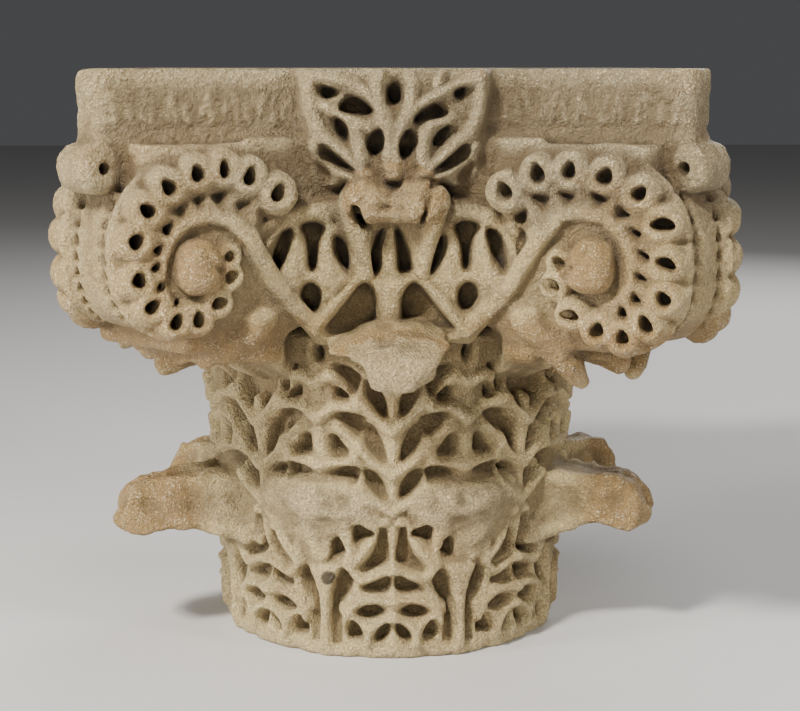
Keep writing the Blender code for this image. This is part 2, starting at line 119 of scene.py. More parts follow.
def soft_outline(corners, cut=0.2):
    """The outline with each corner cut once, as a chisel or a drill leaves it."""
    made = []
    for (x0, y0), (x1, y1) in zip(corners, corners[1:] + corners[:1]):
        made.append((x0 + (x1 - x0) * cut, y0 + (y1 - y0) * cut))
        made.append((x1 + (x0 - x1) * cut, y1 + (y0 - y1) * cut))
    return made


def shape(p, q, corners, cut=0.2):
    """Distance to a closed outline."""
    corners = soft_outline(list(corners), cut) if cut else list(corners)
    nearest = np.full(np.broadcast(p, q).shape, FAR, np.float32)
    inside = np.zeros(nearest.shape, bool)
    for (ax, ay), (bx, by) in zip(corners, corners[1:] + corners[:1]):
        ex, ey = bx - ax, by - ay
        wx, wy = p - ax, q - ay
        t = np.clip((wx * ex + wy * ey) / (ex * ex + ey * ey + 1e-9), 0, 1)
        nearest = np.minimum(nearest, (wx - ex * t) ** 2 + (wy - ey * t) ** 2)
        crossed = (ay > q) != (by > q)
        left = (wx * ey < ex * wy) if ey > 0 else (wx * ey > ex * wy)
        inside ^= crossed & left
    nearest = np.sqrt(nearest)
    return np.where(inside, -nearest, nearest)


def stroke(p, q, path, widths):
    """Distance to a stroke along a path. The widths are the stroke's half widths at its points."""
    if not hasattr(widths, "__len__"):
        widths = [widths] * len(path)
    nearest = np.full(np.broadcast(p, q).shape, FAR, np.float32)
    for (ax, ay), (bx, by), wa, wb in zip(path, path[1:], widths, widths[1:]):
        ex, ey = bx - ax, by - ay
        wx, wy = p - ax, q - ay
        t = np.clip((wx * ex + wy * ey) / (ex * ex + ey * ey + 1e-9), 0, 1)
        near = np.sqrt((wx - ex * t) ** 2 + (wy - ey * t) ** 2) - (wa + (wb - wa) * t)
        nearest = np.minimum(nearest, near)
    return nearest


def drop(x, y, length, width, lean):
    """Corners of a drilled drop, pointed at one end. Lean is in degrees from upright, clockwise."""
    a = radians(lean)
    made = []
    right = [(0.56, 0.0), (0.2, 0.36), (-0.2, 0.5), (-0.46, 0.26)]
    for u, v in right + [(u, -v) for u, v in reversed(right[1:])]:
        along, side = u * length, v * width
        made.append((x + along * sin(a) + side * cos(a), y + along * cos(a) - side * sin(a)))
    return made


def rod(x, y, z, path, radii):
    """Distance to a round bar along a path in space."""
    nearest = None
    for (ax, ay, az), (bx, by, bz), ra, rb in zip(path, path[1:], radii, radii[1:]):
        ex, ey, ez = bx - ax, by - ay, bz - az
        wx, wy, wz = x - ax, y - ay, z - az
        t = np.clip((wx * ex + wy * ey + wz * ez) / (ex * ex + ey * ey + ez * ez), 0, 1)
        near = np.sqrt((wx - ex * t) ** 2 + (wy - ey * t) ** 2 + (wz - ez * t) ** 2) - (ra + (rb - ra) * t)
        nearest = near if nearest is None else np.minimum(nearest, near)
    return nearest


def crown(depth, width, height):
    """Height of a rounded rib, by the depth inside its edge."""
    share = np.clip(depth / width, 0, 1)
    return height * np.sqrt(np.clip(1 - (1 - share) ** 2, 0, 1))


def join(a, b, radius):
    """Both forms, with a fillet between them."""
    blend = np.clip(0.5 + 0.5 * (b - a) / radius, 0, 1)
    return b + (a - b) * blend - radius * blend * (1 - blend)


def trim(a, b, radius):
    """What lies in both forms, with a rounded edge."""
    return -join(-a, -b, radius)


class Drawing:
    """A carved face drawn flat: across in even steps, and up on the block's own levels. It keeps the
    height of the relief and the distance to the holes."""

    def __init__(self, low, high, levels, step=0.5):
        self.low = low
        self.step = step
        self.p = np.arange(low, high + step, step, dtype=np.float32)[:, None]
        self.q = levels.astype(np.float32)[None, :]
        self.holes = np.full((self.p.size, self.q.size), NO_HOLE, np.float32)
        self.rise = np.zeros_like(self.holes)

    def hole(self, corners, cut=0.2):
        self.holes = np.minimum(self.holes, shape(self.p, self.q, corners, cut))

    def slot(self, path, widths):
        self.holes = np.minimum(self.holes, stroke(self.p, self.q, path, widths))

    def carve_between_holes(self, height, width):
        """The relief rises from the edge of every hole to its full height."""
        self.rise = crown(self.holes, width, height)

    def groove(self, path, widths, depth):
        near = stroke(self.p, self.q, path, widths)
        self.rise = self.rise - depth * np.clip(-near / np.max(widths), 0, 1)

    def laid(self, values, across):
        """Values of the drawing at places across it, for every level."""
        place = np.clip((across - self.low) / self.step, 0, self.p.size - 1.001)
        index = place.astype(np.int32)
        share = (place - index)[..., None].astype(np.float32)
        return values[index] * (1 - share) + values[index + 1] * share


# The drawings of the carving

def bell_drawing(levels):
    """Leaves and stems round the bell, from the middle of a side (0) to the diagonal (2 half leaves)."""
    face = Drawing(-6, 2 * HALF_LEAF + 6, levels)
    p, q = face.p, face.q
    full = 2 * HALF_LEAF

    def both(corners):
        face.hole([(s, z) for s, z in corners])
        face.hole([(full - s, z) for s, z in corners])

    # Lower tier: s runs from the stem between two leaves to the stalk of the leaf
    lower = [
        [(3.8, 24.6), (9, 27.8), (14.5, 27.4), (20, 24.2), (13, 21.4)],
        [(21.8, 20.6), (25.2, 14.5), (24.8, 10.2), (16.6, 10.2), (18.8, 15.5)],
        [(1.9, 19.5), (2.2, 14), (5.5, 10.4), (10.6, 9.6), (8.2, 14.5)],
        [(1.3, 44.8), (1.7, 35.8), (8, 35.2), (18, 36.8), (9, 40.5)],
        [(5.6, 71.5), (2.6, 60), (1.4, 51.6), (8, 48.8), (18.4, 46), (10.5, 55.5), (7.4, 63)],
        [(22.4, 66.5), (21.4, 70.4), (17, 71.2), (8.8, 66.6), (17, 63.8), (20, 61.4)],
        [(29, 65.6), (25.6, 62), (25.4, 56.8), (33.4, 53.6), (34.4, 57.2), (32.2, 62.2)],
        [(26, 47.2), (21.8, 42), (24.4, 35.5), (29, 29.5), (32.6, 31), (31.4, 40)],
    ]
    for corners in lower:
        both(corners)
    for flip in (False, True):
        for path, widths in (
            ([(31.6, 34), (32.6, 24), (32.4, 8)], [1.4, 1.0, 0.6]),
            ([(29.5, 22), (29.3, 8)], 0.35),
        ):
            face.slot([(full - s, z) if flip else (s, z) for s, z in path], widths)

    # Upper tier: s runs from the leaf's midrib to the stem between two leaves
    upper = [
        [(14.2, 147.8), (7.2, 143.5), (3.8, 136), (3.8, 128.5), (8, 131.5), (12.6, 139)],
        [(28.6, 154.6), (20.5, 153), (15.4, 149), (17, 142.6), (19.6, 138.6), (23.4, 147)],
        [(28.2, 144), (27.8, 136.8), (20.6, 136.8)],
        [(13.6, 127), (18, 129.2), (28, 129.4), (24, 123.6), (17, 117), (15.6, 124)],
        [(15.4, 125), (10, 123), (5.6, 115), (3.8, 104), (10, 108.4), (14.2, 116)],
        [(31.2, 119.8), (31.4, 107), (21.6, 107)],
        [(16.8, 101.4), (24, 101.4), (32, 97.6), (27, 96.4), (22, 95.8), (18.8, 93.4)],
        [(15.4, 100.4), (9, 98.6), (4.4, 92.6), (3.8, 85.2), (10, 89.4), (14, 94)],
    ]
    for corners in upper:
        both(corners)
    face.hole([(37.8, 161.5), (35.8, 165.5), (33.4, 161.5), (34.8, 156.5)])
    face.hole(drop(full - 5, 142, 16, 9.5, -30))
    face.holes = face.holes - 0.25
    face.carve_between_holes(RELIEF, 3.4)
    stalk = stroke(p, q, [(HALF_LEAF, -2), (HALF_LEAF, 28), (HALF_LEAF, 48)], [3.8, 4.2, 9.0])
    face.rise = face.rise + 3.2 * crown(-stalk, 3.2, 1.0) * np.clip((50.5 - q) / 2, 0, 1)
    for s in (0, full):
        stem = stroke(p, q, [(s, -2), (s, 50), (s, 76)], [3.4, 3.0, 2.2])
        face.rise = face.rise + 1.8 * crown(-stem, 2.6, 1.0)
    stem = stroke(p, q, [(HALF_LEAF, 96), (HALF_LEAF, 130), (HALF_LEAF, 162)], [2.4, 2.8, 3.4])
    face.rise = face.rise + 1.8 * crown(-stem, 2.4, 1.0)

    # Rounded fingers of the leaves, higher than the stone between them
    fingers = [
        [(1, 31), (8, 32.6), (16, 31.4), (23, 27), (26, 19)],
        [(1, 47.5), (8, 45.4), (16, 42.4), (21, 46)],
        [(22, 50), (16, 56), (11, 62.5), (4, 74)],
        [(24, 66), (22.5, 58), (24, 50), (22, 43)],
        [(12.6, 9), (12.4, 15), (7, 20.4), (2, 22)], [(12.4, 15), (16, 20), (21, 22.4)],
        [(22.4, 72), (27, 69), (33, 70)],
        [(1, 121), (7, 127.6), (13.4, 134.6), (18, 137)], [(3, 141), (10, 149), (17, 154)],
        [(1, 98), (8, 104), (15, 111), (20, 119), (27, 122)], [(1, 79), (9, 85), (15.4, 91), (20, 94)],
        [(36, 127), (30, 132.6), (22, 133.2), (16, 128)], [(36, 102), (29, 104.4), (19, 104)],
        [(35, 146), (30, 149.4), (22, 147), (17, 134)], [(17, 113), (20, 106), (17, 98)],
    ]
    ribs = np.zeros_like(face.rise)
    for path in fingers:
        for line in (path, [(full - s, z) for s, z in path]):
            ribs = np.maximum(ribs, crown(-stroke(p, q, line, 2.8), 2.8, 3.8))
    face.rise = face.rise + ribs * np.clip(face.holes / 1.5, 0, 1) - 1.7

    # Stems and midribs with their fine lines, and the step between the two tiers
    for line in (-1.1, 1.1):
        for s, low, high in ((0, 2, 76), (full, 2, 76), (HALF_LEAF, 94, 158), (HALF_LEAF, 3, 48)):
            face.groove([(s + line, low), (s + line, high)], 0.75, 0.8)
    midrib = np.minimum(np.abs(p), np.abs(full - p))
    face.rise = face.rise + 0.9 * np.clip(1 - midrib / 3.2, 0, 1) * ((q > 84) & (q < 150))
    lip = np.exp(-(((q - TIER) / 5.0) ** 2))
    face.rise = face.rise + 1.2 * lip * np.clip(face.holes / 3, 0, 1)
    arc = np.abs(np.sin(p * pi / HALF_LEAF * 2))
    scallop = np.exp(-((q / (1.6 + 3.4 * (1 - arc) ** 2)) ** 2))
    face.rise = face.rise - 3.4 * scallop * (0.35 + 0.65 * (1 - arc))
    return face


def lobe_list(hand):
    """Drilled lobes round a volute: place, hole length, hole width and lean, from the lyre to the eye."""
    if hand > 0:
        return [
            (-40, 33.5, 9, 6, -25, 10.0), (-24.5, 42, 9.5, 6, -14, 9.6), (-9.5, 43.5, 8.5, 5.6, 8, 9.6),
            (7, 41, 8, 7, 25, 9.4), (23, 33.5, 7.5, 6.2, 40, 9.0), (34, 19.5, 5.6, 12, 2, 9.4),
            (36, 1.5, 5, 10.5, 24, 9.4), (35, -15, 8, 6, -30, 9.2), (27, -27, 9.5, 5.2, -24, 9.2),
            (16.5, -33.5, 7.5, 5.2, -10, 9.2), (4.5, -30.5, 7.5, 6, 12, 8.8), (-8.5, -24, 4.8, 9, 12, 8.0),
            (-17, -10, 4.8, 8.6, 30, 7.4), (-14, 0.5, 6.4, 5, -35, 6.6),
        ]
    return [
        (-37, 33, 9, 6, -22, 10.0), (-23.5, 41, 9, 5.6, -12, 9.6), (-11.5, 44.5, 9, 4.2, 4, 9.2),
        (1, 42.5, 8, 5.6, 18, 9.2), (14.5, 36.5, 8, 5.6, 34, 9.2), (24.5, 26, 8, 6, 50, 9.2),
        (30, 12, 6, 8, 70, 9.2), (29, -6, 6, 8, 108, 9.2), (23, -18, 8, 5.6, -46, 9.0),
        (12, -25.5, 8, 5.4, -18, 9.0), (1.5, -25, 8, 5.4, 6, 8.4), (-8, -17.5, 5, 7.6, 30, 7.6),
        (-14, -5.5, 5, 7.4, 48, 7.0), (-13.5, 4, 5, 5, 0, 6.0),
    ]


def volute_drawing(levels, hand):
    """Face of a volute: a ring of lobes, each with its drilled eye, round a stem that curls over a knob."""
    face = Drawing(-64, 60, levels - EYE_Z)
    p, q = face.p, face.q
    lobes = lobe_list(hand)
    size = 1.0 if hand > 0 else 0.93
    heads = np.full(face.rise.shape, -99, np.float32)
    rise = np.zeros_like(face.rise)
    for x, y, long, wide, lean, radius in lobes:
        depth = radius + 1.2 - np.sqrt((p - x) ** 2 + (q - y) ** 2)
        heads = np.maximum(heads, depth)
        face.hole(drop(x, y, long, wide, lean))

    # The stem that curls round the knob, and the fingers between it and the lobes
    curl = [(-34, 4), (-25, 15), (-15, 22.5), (-4, 24.5), (7, 21.5), (15, 14), (19, 4), (20, -6), (17, -15)]
    curl = [(x * size, y * size) for x, y in curl]
    band = stroke(p, q, curl, [5.0, 4.6, 4.4, 4.2, 4.0, 3.8, 3.4, 2.8, 1.6])
    centres = [(x, y) for x, y, *_ in lobes]
    web = shape(p, q, centres[:11] + [(0, -8), (-4, 6), (-20, 12), (-36, 18)])
    rise = np.maximum(rise, crown(-web - 2.5, 3.0, FACE_GROUND - 1.6))
    well = [(-30, 2), (-22, 14), (-12, 20), (-2, 21), (7, 18), (13, 11), (16, 3), (16, -8), (14, -15),
            (0, -20), (-30, -14)]
    rise = np.where(shape(p, q, well) < 0, np.minimum(rise, 1.2), rise)
    rise = np.maximum(rise, crown(-band, 3.0, FACE_GROUND - 0.2))
    rise = np.maximum(rise, crown(heads, 8.0, FACE_GROUND + 2.6))
    inner = [
        [(-37.5, 20.5), (-29.5, 26), (-29, 15)], [(-28.5, 31.5), (-19, 31.5), (-21.5, 24.5)],
        [(-15.5, 33.5), (-6, 32.5), (-11, 27)], [(0, 33.5), (9.5, 30.5), (3, 26.5)],
        [(12.5, 28.5), (20, 22), (12, 21.5)], [(17, 18.5), (24, 15), (22.5, 11.5)],
        [(21, 8), (28, 4.5), (27, 1)], [(21.5, -2.5), (29, -8), (22.5, -7)],
        [(20.5, -12), (25.5, -18), (20, -17.5)], [(15.5, -18), (18.5, -25), (14, -24)],
    ]
    if hand < 0:
        inner = [
            [(-35, 20), (-28, 25.5), (-28, 15.5)], [(-25, 29), (-17, 29), (-18.5, 23.5)],
            [(-13, 33.5), (-5, 32.5), (-9.5, 26.5)], [(-2.5, 33), (4, 31), (0, 26)],
            [(6, 29.5), (13, 25), (8, 22)], [(12, 21), (18, 17.5), (15, 13.5)],
            [(16.5, 11), (22.5, 7.5), (19.5, 5)], [(18.5, 2.5), (24, -1.5), (19.5, -2.5)],
            [(18, -6), (21.5, -11.5), (16.5, -10.5)], [(10.5, -14), (13.5, -19), (9, -18)],
        ]
    for corners in inner:
        face.hole(corners, 0.12)
    face.rise = rise * np.clip(0.25 + face.holes / 2.2, 0, 1) ** 0.5
    for (ax, ay), (bx, by) in zip(centres[:11], centres[1:12]):
        gap = hypot(bx - ax, by - ay)
        out_x, out_y = (ay - by) / gap, (bx - ax) / gap
        foot = ((ax + bx) / 2 + out_x * 3, (ay + by) / 2 + out_y * 3)
        head = (foot[0] + out_x * 12, foot[1] + out_y * 12)
        face.groove([foot, head], [1.2, 2.8], 3.6)

    # Outline of the block between the two faces of a corner: a little scalloped by the lobes
    ends = centres[:12] + [(-6, -12), (-14, 10), (-30, 20), (-42, 24)]
    smooth = shape(p, q, ends, 0.25) - 10.5
    face.outline = 0.15 * smooth - 0.85 * np.maximum(heads, -smooth - 5)
    face.smooth = smooth
    return face


def lyre_drawing(levels, hand):
    """Panel between two volutes: two looped stems with paired leaves, and a trunk in the middle."""
    face = Drawing(-6, 76, levels)
    p, q = face.p, face.q
    loops = [
        [(26.5, 222), (21, 217.5), (19, 209), (19.4, 201.5), (24, 207.5), (26.8, 214)],
        [(30.5, 225.5), (36, 228.4), (43.5, 226.4), (39.8, 219.5), (38.4, 204.5), (35.4, 204.5), (34, 218)],
        [(45.4, 225.4), (52, 223.4), (56.4, 212), (55, 203), (49, 211)],
        [(35, 184), (39, 183.4), (43.4, 190), (41.8, 196.5), (38, 198.6), (33.6, 195), (33, 189)],
        [(12.8, 198.4), (8.2, 194.5), (6, 188), (6, 175), (16, 172), (34, 172), (24, 184)],
        [(4.4, 202.4), (11.4, 202.4), (8.8, 213), (5.4, 222), (2.2, 225), (4.2, 214)],
    ]
    if hand < 0:
        loops.append([(17.8, 238), (12.4, 231.5), (11.2, 225.5), (15.2, 227.5), (18, 233)])
    else:
        face.slot([(19.2, 240.5), (15.6, 231)], [0.7, 1.7])
    for corners in loops:
        face.hole(corners)
    face.carve_between_holes(LYRE_RISE, 4.8)
    panel = [(-9, 168), (44, 168), (58, 190), (64, 210), (62, 226), (48, 236), (30, 240), (-9, 248)]
    face.rise = face.rise * np.clip(-shape(p, q, panel, 0.1) / 4, 0, 1) ** 0.6
    under = stroke(p, q, [(0, 200.4), (14, 199.4)], [1.0, 1.0])
    face.rise = face.rise - 1.4 * np.clip(-under, 0, 1)
    lines = (
        ([(46, 174), (36, 182), (28, 190.5), (18, 200), (15, 207), (18, 217), (27, 229)], 1.8, 3.6),
        ([(41, 174), (50, 184), (57, 196), (61.5, 207), (60, 219), (50, 230.5)], 2.0, 5.0),
        ([(33, 200.5), (30.5, 208), (30.5, 221)], 1.4, 2.4),
        ([(41, 200.5), (43.5, 208), (42, 221)], 1.4, 2.4),
        ([(29, 196), (30.5, 186), (38.5, 176)], 1.5, 3.0),
        ([(46, 196), (47.5, 188), (41.5, 177)], 1.5, 3.0),
        ([(-6, 201), (5, 200), (13, 200.5)], 1.3, 2.2),
    )
    for path, half, deep in lines:
        face.groove(path, half, deep)
    return face


def fleuron_drawing(levels, hand):
    """Palmette over the middle of the abacus: ribs that spread from its foot, with holes between them."""
    face = Drawing(-4, 50, levels)
    p, q = face.p, face.q
    holes = [
        [(0, 295), (-3.6, 291), (-4, 286), (-2, 283), (2, 283), (4, 286), (3.6, 291)],
        [(8, 273.6), (10.6, 279.6), (20.6, 285.4), (25.6, 278.2), (15, 276.4)],
        [(27, 274.6), (21, 271.4), (17.4, 266.6), (17.8, 263), (23.4, 265.6)],
        [(6.4, 272.6), (10.4, 269.4), (10.6, 264.4), (6, 258), (2.6, 259), (2.6, 266.4)],
        [(34.4, 266), (35.6, 259.6), (27, 253.4), (17.4, 251.4), (24, 257.4)],
        [(37.8, 257.4), (32, 253.6), (28.6, 248.8), (31.6, 245.6), (36, 249.4)],
        [(34, 292), (27, 289.6), (28.4, 286), (31.6, 286.4)],
    ]
    ribs = [
        ([(11, 248), (24, 259), (35, 270), (39.5, 281), (41, 298)], 3.9),
        ([(0.5, 250), (0.5, 262), (3, 272), (9.5, 281), (21, 289), (38, 295.5)], 3.3),
        ([(2.4, 273), (7, 283), (8.4, 293), (5, 303)], 3.2),
        ([(13.6, 257), (13.4, 267), (18, 275.5), (25.4, 276)], 3.2),
        ([(20, 249), (30, 256.5), (38.5, 264)], 2.8),
        ([(19, 292), (24, 303)], 2.4),
    ]
    if hand < 0:
        holes[1] = [(8.6, 279), (12.6, 284.6), (20.4, 288), (27.4, 281.4), (16.4, 278)]
        holes[2] = [(29, 278.6), (23.6, 275.4), (21.4, 269.6), (22, 265), (26.6, 268.6)]
        holes[3] = [(6.4, 272.6), (10.4, 270.4), (13.6, 264.4), (9.6, 258.4), (6.4, 260.6), (5, 266.4)]
        holes[6] = [(35.6, 293), (25, 289.6), (30.6, 285.6), (33.6, 286.4)]
        ribs[1] = ([(1, 250), (3, 262), (3.4, 272), (7.6, 280), (14, 288.5), (22, 294), (41, 297)], 3.4)
        ribs[3] = ([(15.5, 258), (17.5, 268), (24, 278.6), (33, 283)], 3.5)
        ribs[5] = ([(10, 272.5), (18, 274.5), (22, 279)], 3.0)
    for corners in holes:
        face.hole(corners)
    face.carve_between_holes(4.2, 3.0)
    for path, half in ribs:
        face.rise = np.maximum(face.rise, crown(-stroke(p, q, path, half * 1.2), half * 1.2, 8.8))
    face.rise = np.minimum(face.rise, crown(face.holes, 2.4, 9.0))
    right = [(6, 246), (20, 247.5), (32, 243), (40, 250), (41.5, 262), (45, 276), (46, 292), (45, 306)]
    outline = right + [(-x, z) for x, z in reversed(right)]
    face.outline = shape(p, q, outline, 0.2)
    face.rise = face.rise * np.clip(-face.outline / 4.0, 0, 1) ** 0.5
    return face


def band_drawing(levels):
    """The sunk band of the abacus, with a row of short shallow strokes and a line under them."""
    face = Drawing(-4, 150, levels)
    low = BELL_TOP + MOULDING + 3.2
    high = HEIGHT - FILLET - 2.4
    tall = high - low
    across = 47.0
    turn = 0
    while across < 132:
        lean = (2.4, -1.2, 0.6, -2.6, 1.6)[turn % 5]
        foot = (0.0, 0.15, 0.0, 0.3, 0.05)[turn % 5]
        head = (1.0, 0.7, 0.85, 1.0, 0.6)[turn % 5]
        face.groove([(across, low + foot * tall), (across + lean, low + head * tall)], 1.4, -2.5)
        if turn % 3 == 0:
            face.groove([(across, low + 0.1 * tall), (across + 5.2, low + 0.22 * tall)], 1.1, -1.7)
        across += (5.4, 4.2, 6.6)[turn % 3]
        turn += 1
    face.groove([(44, low - 2.0), (136, low - 2.0)], 1.0, 0.8)
    return face


# The block, one quarter at a time

def grid_window(axes, ranges):
    """Slices and coordinates of a box of a grid."""
    cut = []
    places = []
    for axis, (low, high) in zip(axes, ranges):
        first, last = np.searchsorted(axis, (low, high))
        cut.append(slice(int(first), int(last)))
        places.append(axis[int(first):int(last)])
    return tuple(cut), places[0][:, None, None], places[1][None, :, None], places[2][None, None, :]


class Quarter:
    """A quarter of the block, from the middle of one side to the middle of the next, on a regular grid.
    The field is the distance to the stone, negative inside it."""

    def __init__(self, hand):
        self.hand = hand
        self.side = np.arange(0.5 * STEP, REACH + 2 * STEP, STEP, dtype=np.float32)
        self.levels = np.arange(-1.5 * STEP, HEIGHT + 2 * STEP, STEP, dtype=np.float32)
        self.field = np.full((self.side.size, self.side.size, self.levels.size), OPEN_AIR, np.float32)

    def window(self, x, out, z):
        return grid_window((self.side, self.side, self.levels), (x, out, z))

    def add(self, cut, form, radius=0.0):
        if radius:
            self.field[cut] = join(self.field[cut], form, radius)
        else:
            self.field[cut] = np.minimum(self.field[cut], form)


def bell_radius(z):
    share = np.clip(z / BELL_TOP, 0, 1)
    return FOOT_RADIUS + BELL_FLARE * share**2


def drilled(surface, base, holes, depth):
    """A carved surface with its holes cut to a depth below the base, narrowing as they go in."""
    walls = holes + 0.10 * np.clip(-base, 0, 20)
    return np.maximum(surface, np.minimum(-walls, base + depth))


def add_bell(quarter):
    face = bell_drawing(quarter.levels)
    cut, x, out, z = quarter.window((0, 140), (0, 140), (-9, BELL_TOP + 9))
    rho = np.sqrt(x * x + out * out)[..., 0]
    u = np.arctan2(x, out)[..., 0] * ARC
    u = np.minimum(u, 4 * HALF_LEAF - u)
    levels = slice(cut[2].start, cut[2].stop)
    rise = face.laid(face.rise, u)[..., levels]
    holes = face.laid(face.holes, u)[..., levels]
    base = rho[..., None] - bell_radius(z)
    above = np.clip((z - 168.5) / 4, 0, 1)
    base = base + 7.5 * above
    form = drilled(base - rise * (1 - above), base, holes + 6 * above, HOLE_DEPTH - RELIEF)
    form = np.maximum(form, np.maximum(-z, z - BELL_TOP - 6))
    quarter.add(cut, form)


def add_abacus(quarter):
    cut, x, out, z = quarter.window((0, 170), (0, 170), (BELL_TOP - 4, HEIGHT + 9))
    reach = ABACUS_HALF - ABACUS_CORNER_CUT
    share = np.clip(x / reach, 0, 1.2)
    edge = ABACUS_HALF - ABACUS_SAGITTA * (1 - share * share)
    plan = (out - edge) * 0.97
    plan = np.maximum(plan, plan.transpose(1, 0, 2))
    plan = trim(plan, (x + out - (ABACUS_HALF + reach)) * 0.707, 3.0)
    h = z - BELL_TOP
    sunk = 0.38 * BAND_RECESS * np.clip((HEIGHT - FILLET - z) / 2.4 + 0.5, 0, 1)
    round_in = np.clip(1 - ((h - MOULDING / 2) / (MOULDING / 2)) ** 2, 0, 1)
    sunk = np.where(h < MOULDING, BAND_RECESS * 1.1 * (1 - np.sqrt(round_in)), sunk)
    sunk = sunk * np.clip((reach + 2 - np.maximum(-9, np.minimum(x, out))) / 14, 0.12, 1)
    face = band_drawing(quarter.levels)
    marks = face.laid(face.rise, quarter.side[cut[0]])[:, None, cut[2]]
    marks = np.where(x < out, marks, marks.transpose(1, 0, 2))
    form = trim(plan + sunk - marks, np.maximum(z - HEIGHT, BELL_TOP - z), 2.4)
    quarter.add(cut, form)


def add_panel(quarter):
    face = lyre_drawing(quarter.levels, quarter.hand)
    cut, x, out, z = quarter.window((0, 72), (60, 140), (PANEL_FOOT - 4, BELL_TOP + 4))
    lean = PANEL_OUT + PANEL_LEAN * (z - PANEL_FOOT) / (BELL_TOP - PANEL_FOOT)
    base = out - lean - 0.0042 * x * x
    across = quarter.side[cut[0]] + LYRE_SHIFT * quarter.hand
    rise = face.laid(face.rise, across)[:, None, cut[2]]
    holes = face.laid(face.holes, across)[:, None, cut[2]]
    form = drilled(base - rise, base, holes, 7.0)
    stem_line = [(166, 35), (171, 38), (179, 43), (188, 50), (198, 57), (210, 63), (220, 68), (300, 72)]
    stem_edge = profile(stem_line, z)
    form = np.maximum(form, np.maximum(PANEL_FOOT - 3 - z + (lean - out) * 0.2, x - stem_edge))
    quarter.add(cut, form, 1.5)


def add_fleuron(quarter):
    face = fleuron_drawing(quarter.levels, quarter.hand)
    cut, x, out, z = quarter.window((0, 50), (95, 156), (244, HEIGHT + 9))
    across = quarter.side[cut[0]]
    rise = face.laid(face.rise, across)[:, None, cut[2]]
    holes = face.laid(face.holes, across)[:, None, cut[2]]
    outline = face.laid(face.outline, across)[:, None, cut[2]]
    head = 1.5 * np.clip((z - 285) / 15, 0, 1) * (x < 14)
    front = 136.0 - 0.16 * (HEIGHT - z) - 0.0022 * x * x + head
    base = out - front
    form = drilled(base - rise, base, holes, 9.0)
    form = trim(form, outline, 5.0)
    form = np.maximum(form, z - HEIGHT)
    quarter.add(cut, form, 3.0)


def add_boss(quarter):
    """Curled tip of the leaf that the lyre carries: two humps, a broken face between, and two stems."""
    cut, x, out, z = quarter.window((0, 42), (95, 152), (196, 262))
    whole = quarter.hand > 0
    middle, wide = (11.5, 13.5) if whole else (13.0, 12.0)
    hump = np.sqrt(((x - middle) / wide) ** 2 + ((z - 238.6) / 11.4) ** 2 + ((out - 128) / 13) ** 2)
    heart = np.sqrt((x / 13) ** 2 + ((z - 236.4) / 8.6) ** 2 + ((out - 127) / 11) ** 2)
    form = join((hump - 1) * 11.5, (heart - 1) * 8.6, 2.5)
    face = out - 140.0 + 0.16 * np.clip(238 - z, 0, 20) - 0.04 * x
    form = trim(form, face, 6.0)
    fold = stroke(x, z, [(17.5, 247), (15.4, 240), (15.6, 232)], [0.6, 1.8, 0.8])
    form = form + 2.4 * np.clip(-fold, 0, 1)
    down = [(20, 129, 238), (19, 125, 229), (15.6, 119.5, 215), (13.2, 117, 202)]
    form = join(form, rod(x, out, z, down, [6.4, 5.4, 4.2, 3.6]), 3.0)
    if whole:
        slit = stroke(x, z, [(17.6, 241), (15.6, 236), (13.4, 229)], [0.5, 0.8, 1.7])
    else:
        slit = shape(x, z, [(20.6, 237), (16.4, 236), (13.6, 229), (14, 223.4), (17.6, 227)])
    form = np.maximum(form, np.minimum(-slit, out - 121))
    quarter.add(cut, form, 1.5)


def volute_coordinates(x, out):
    """Place across a volute's face and distance out of it."""
    across = (x - EYE_X) * cos(TURN) + (out - EYE_OUT) * sin(TURN)
    stand = (out - EYE_OUT) * cos(TURN) - (x - EYE_X) * sin(TURN)
    return across, stand


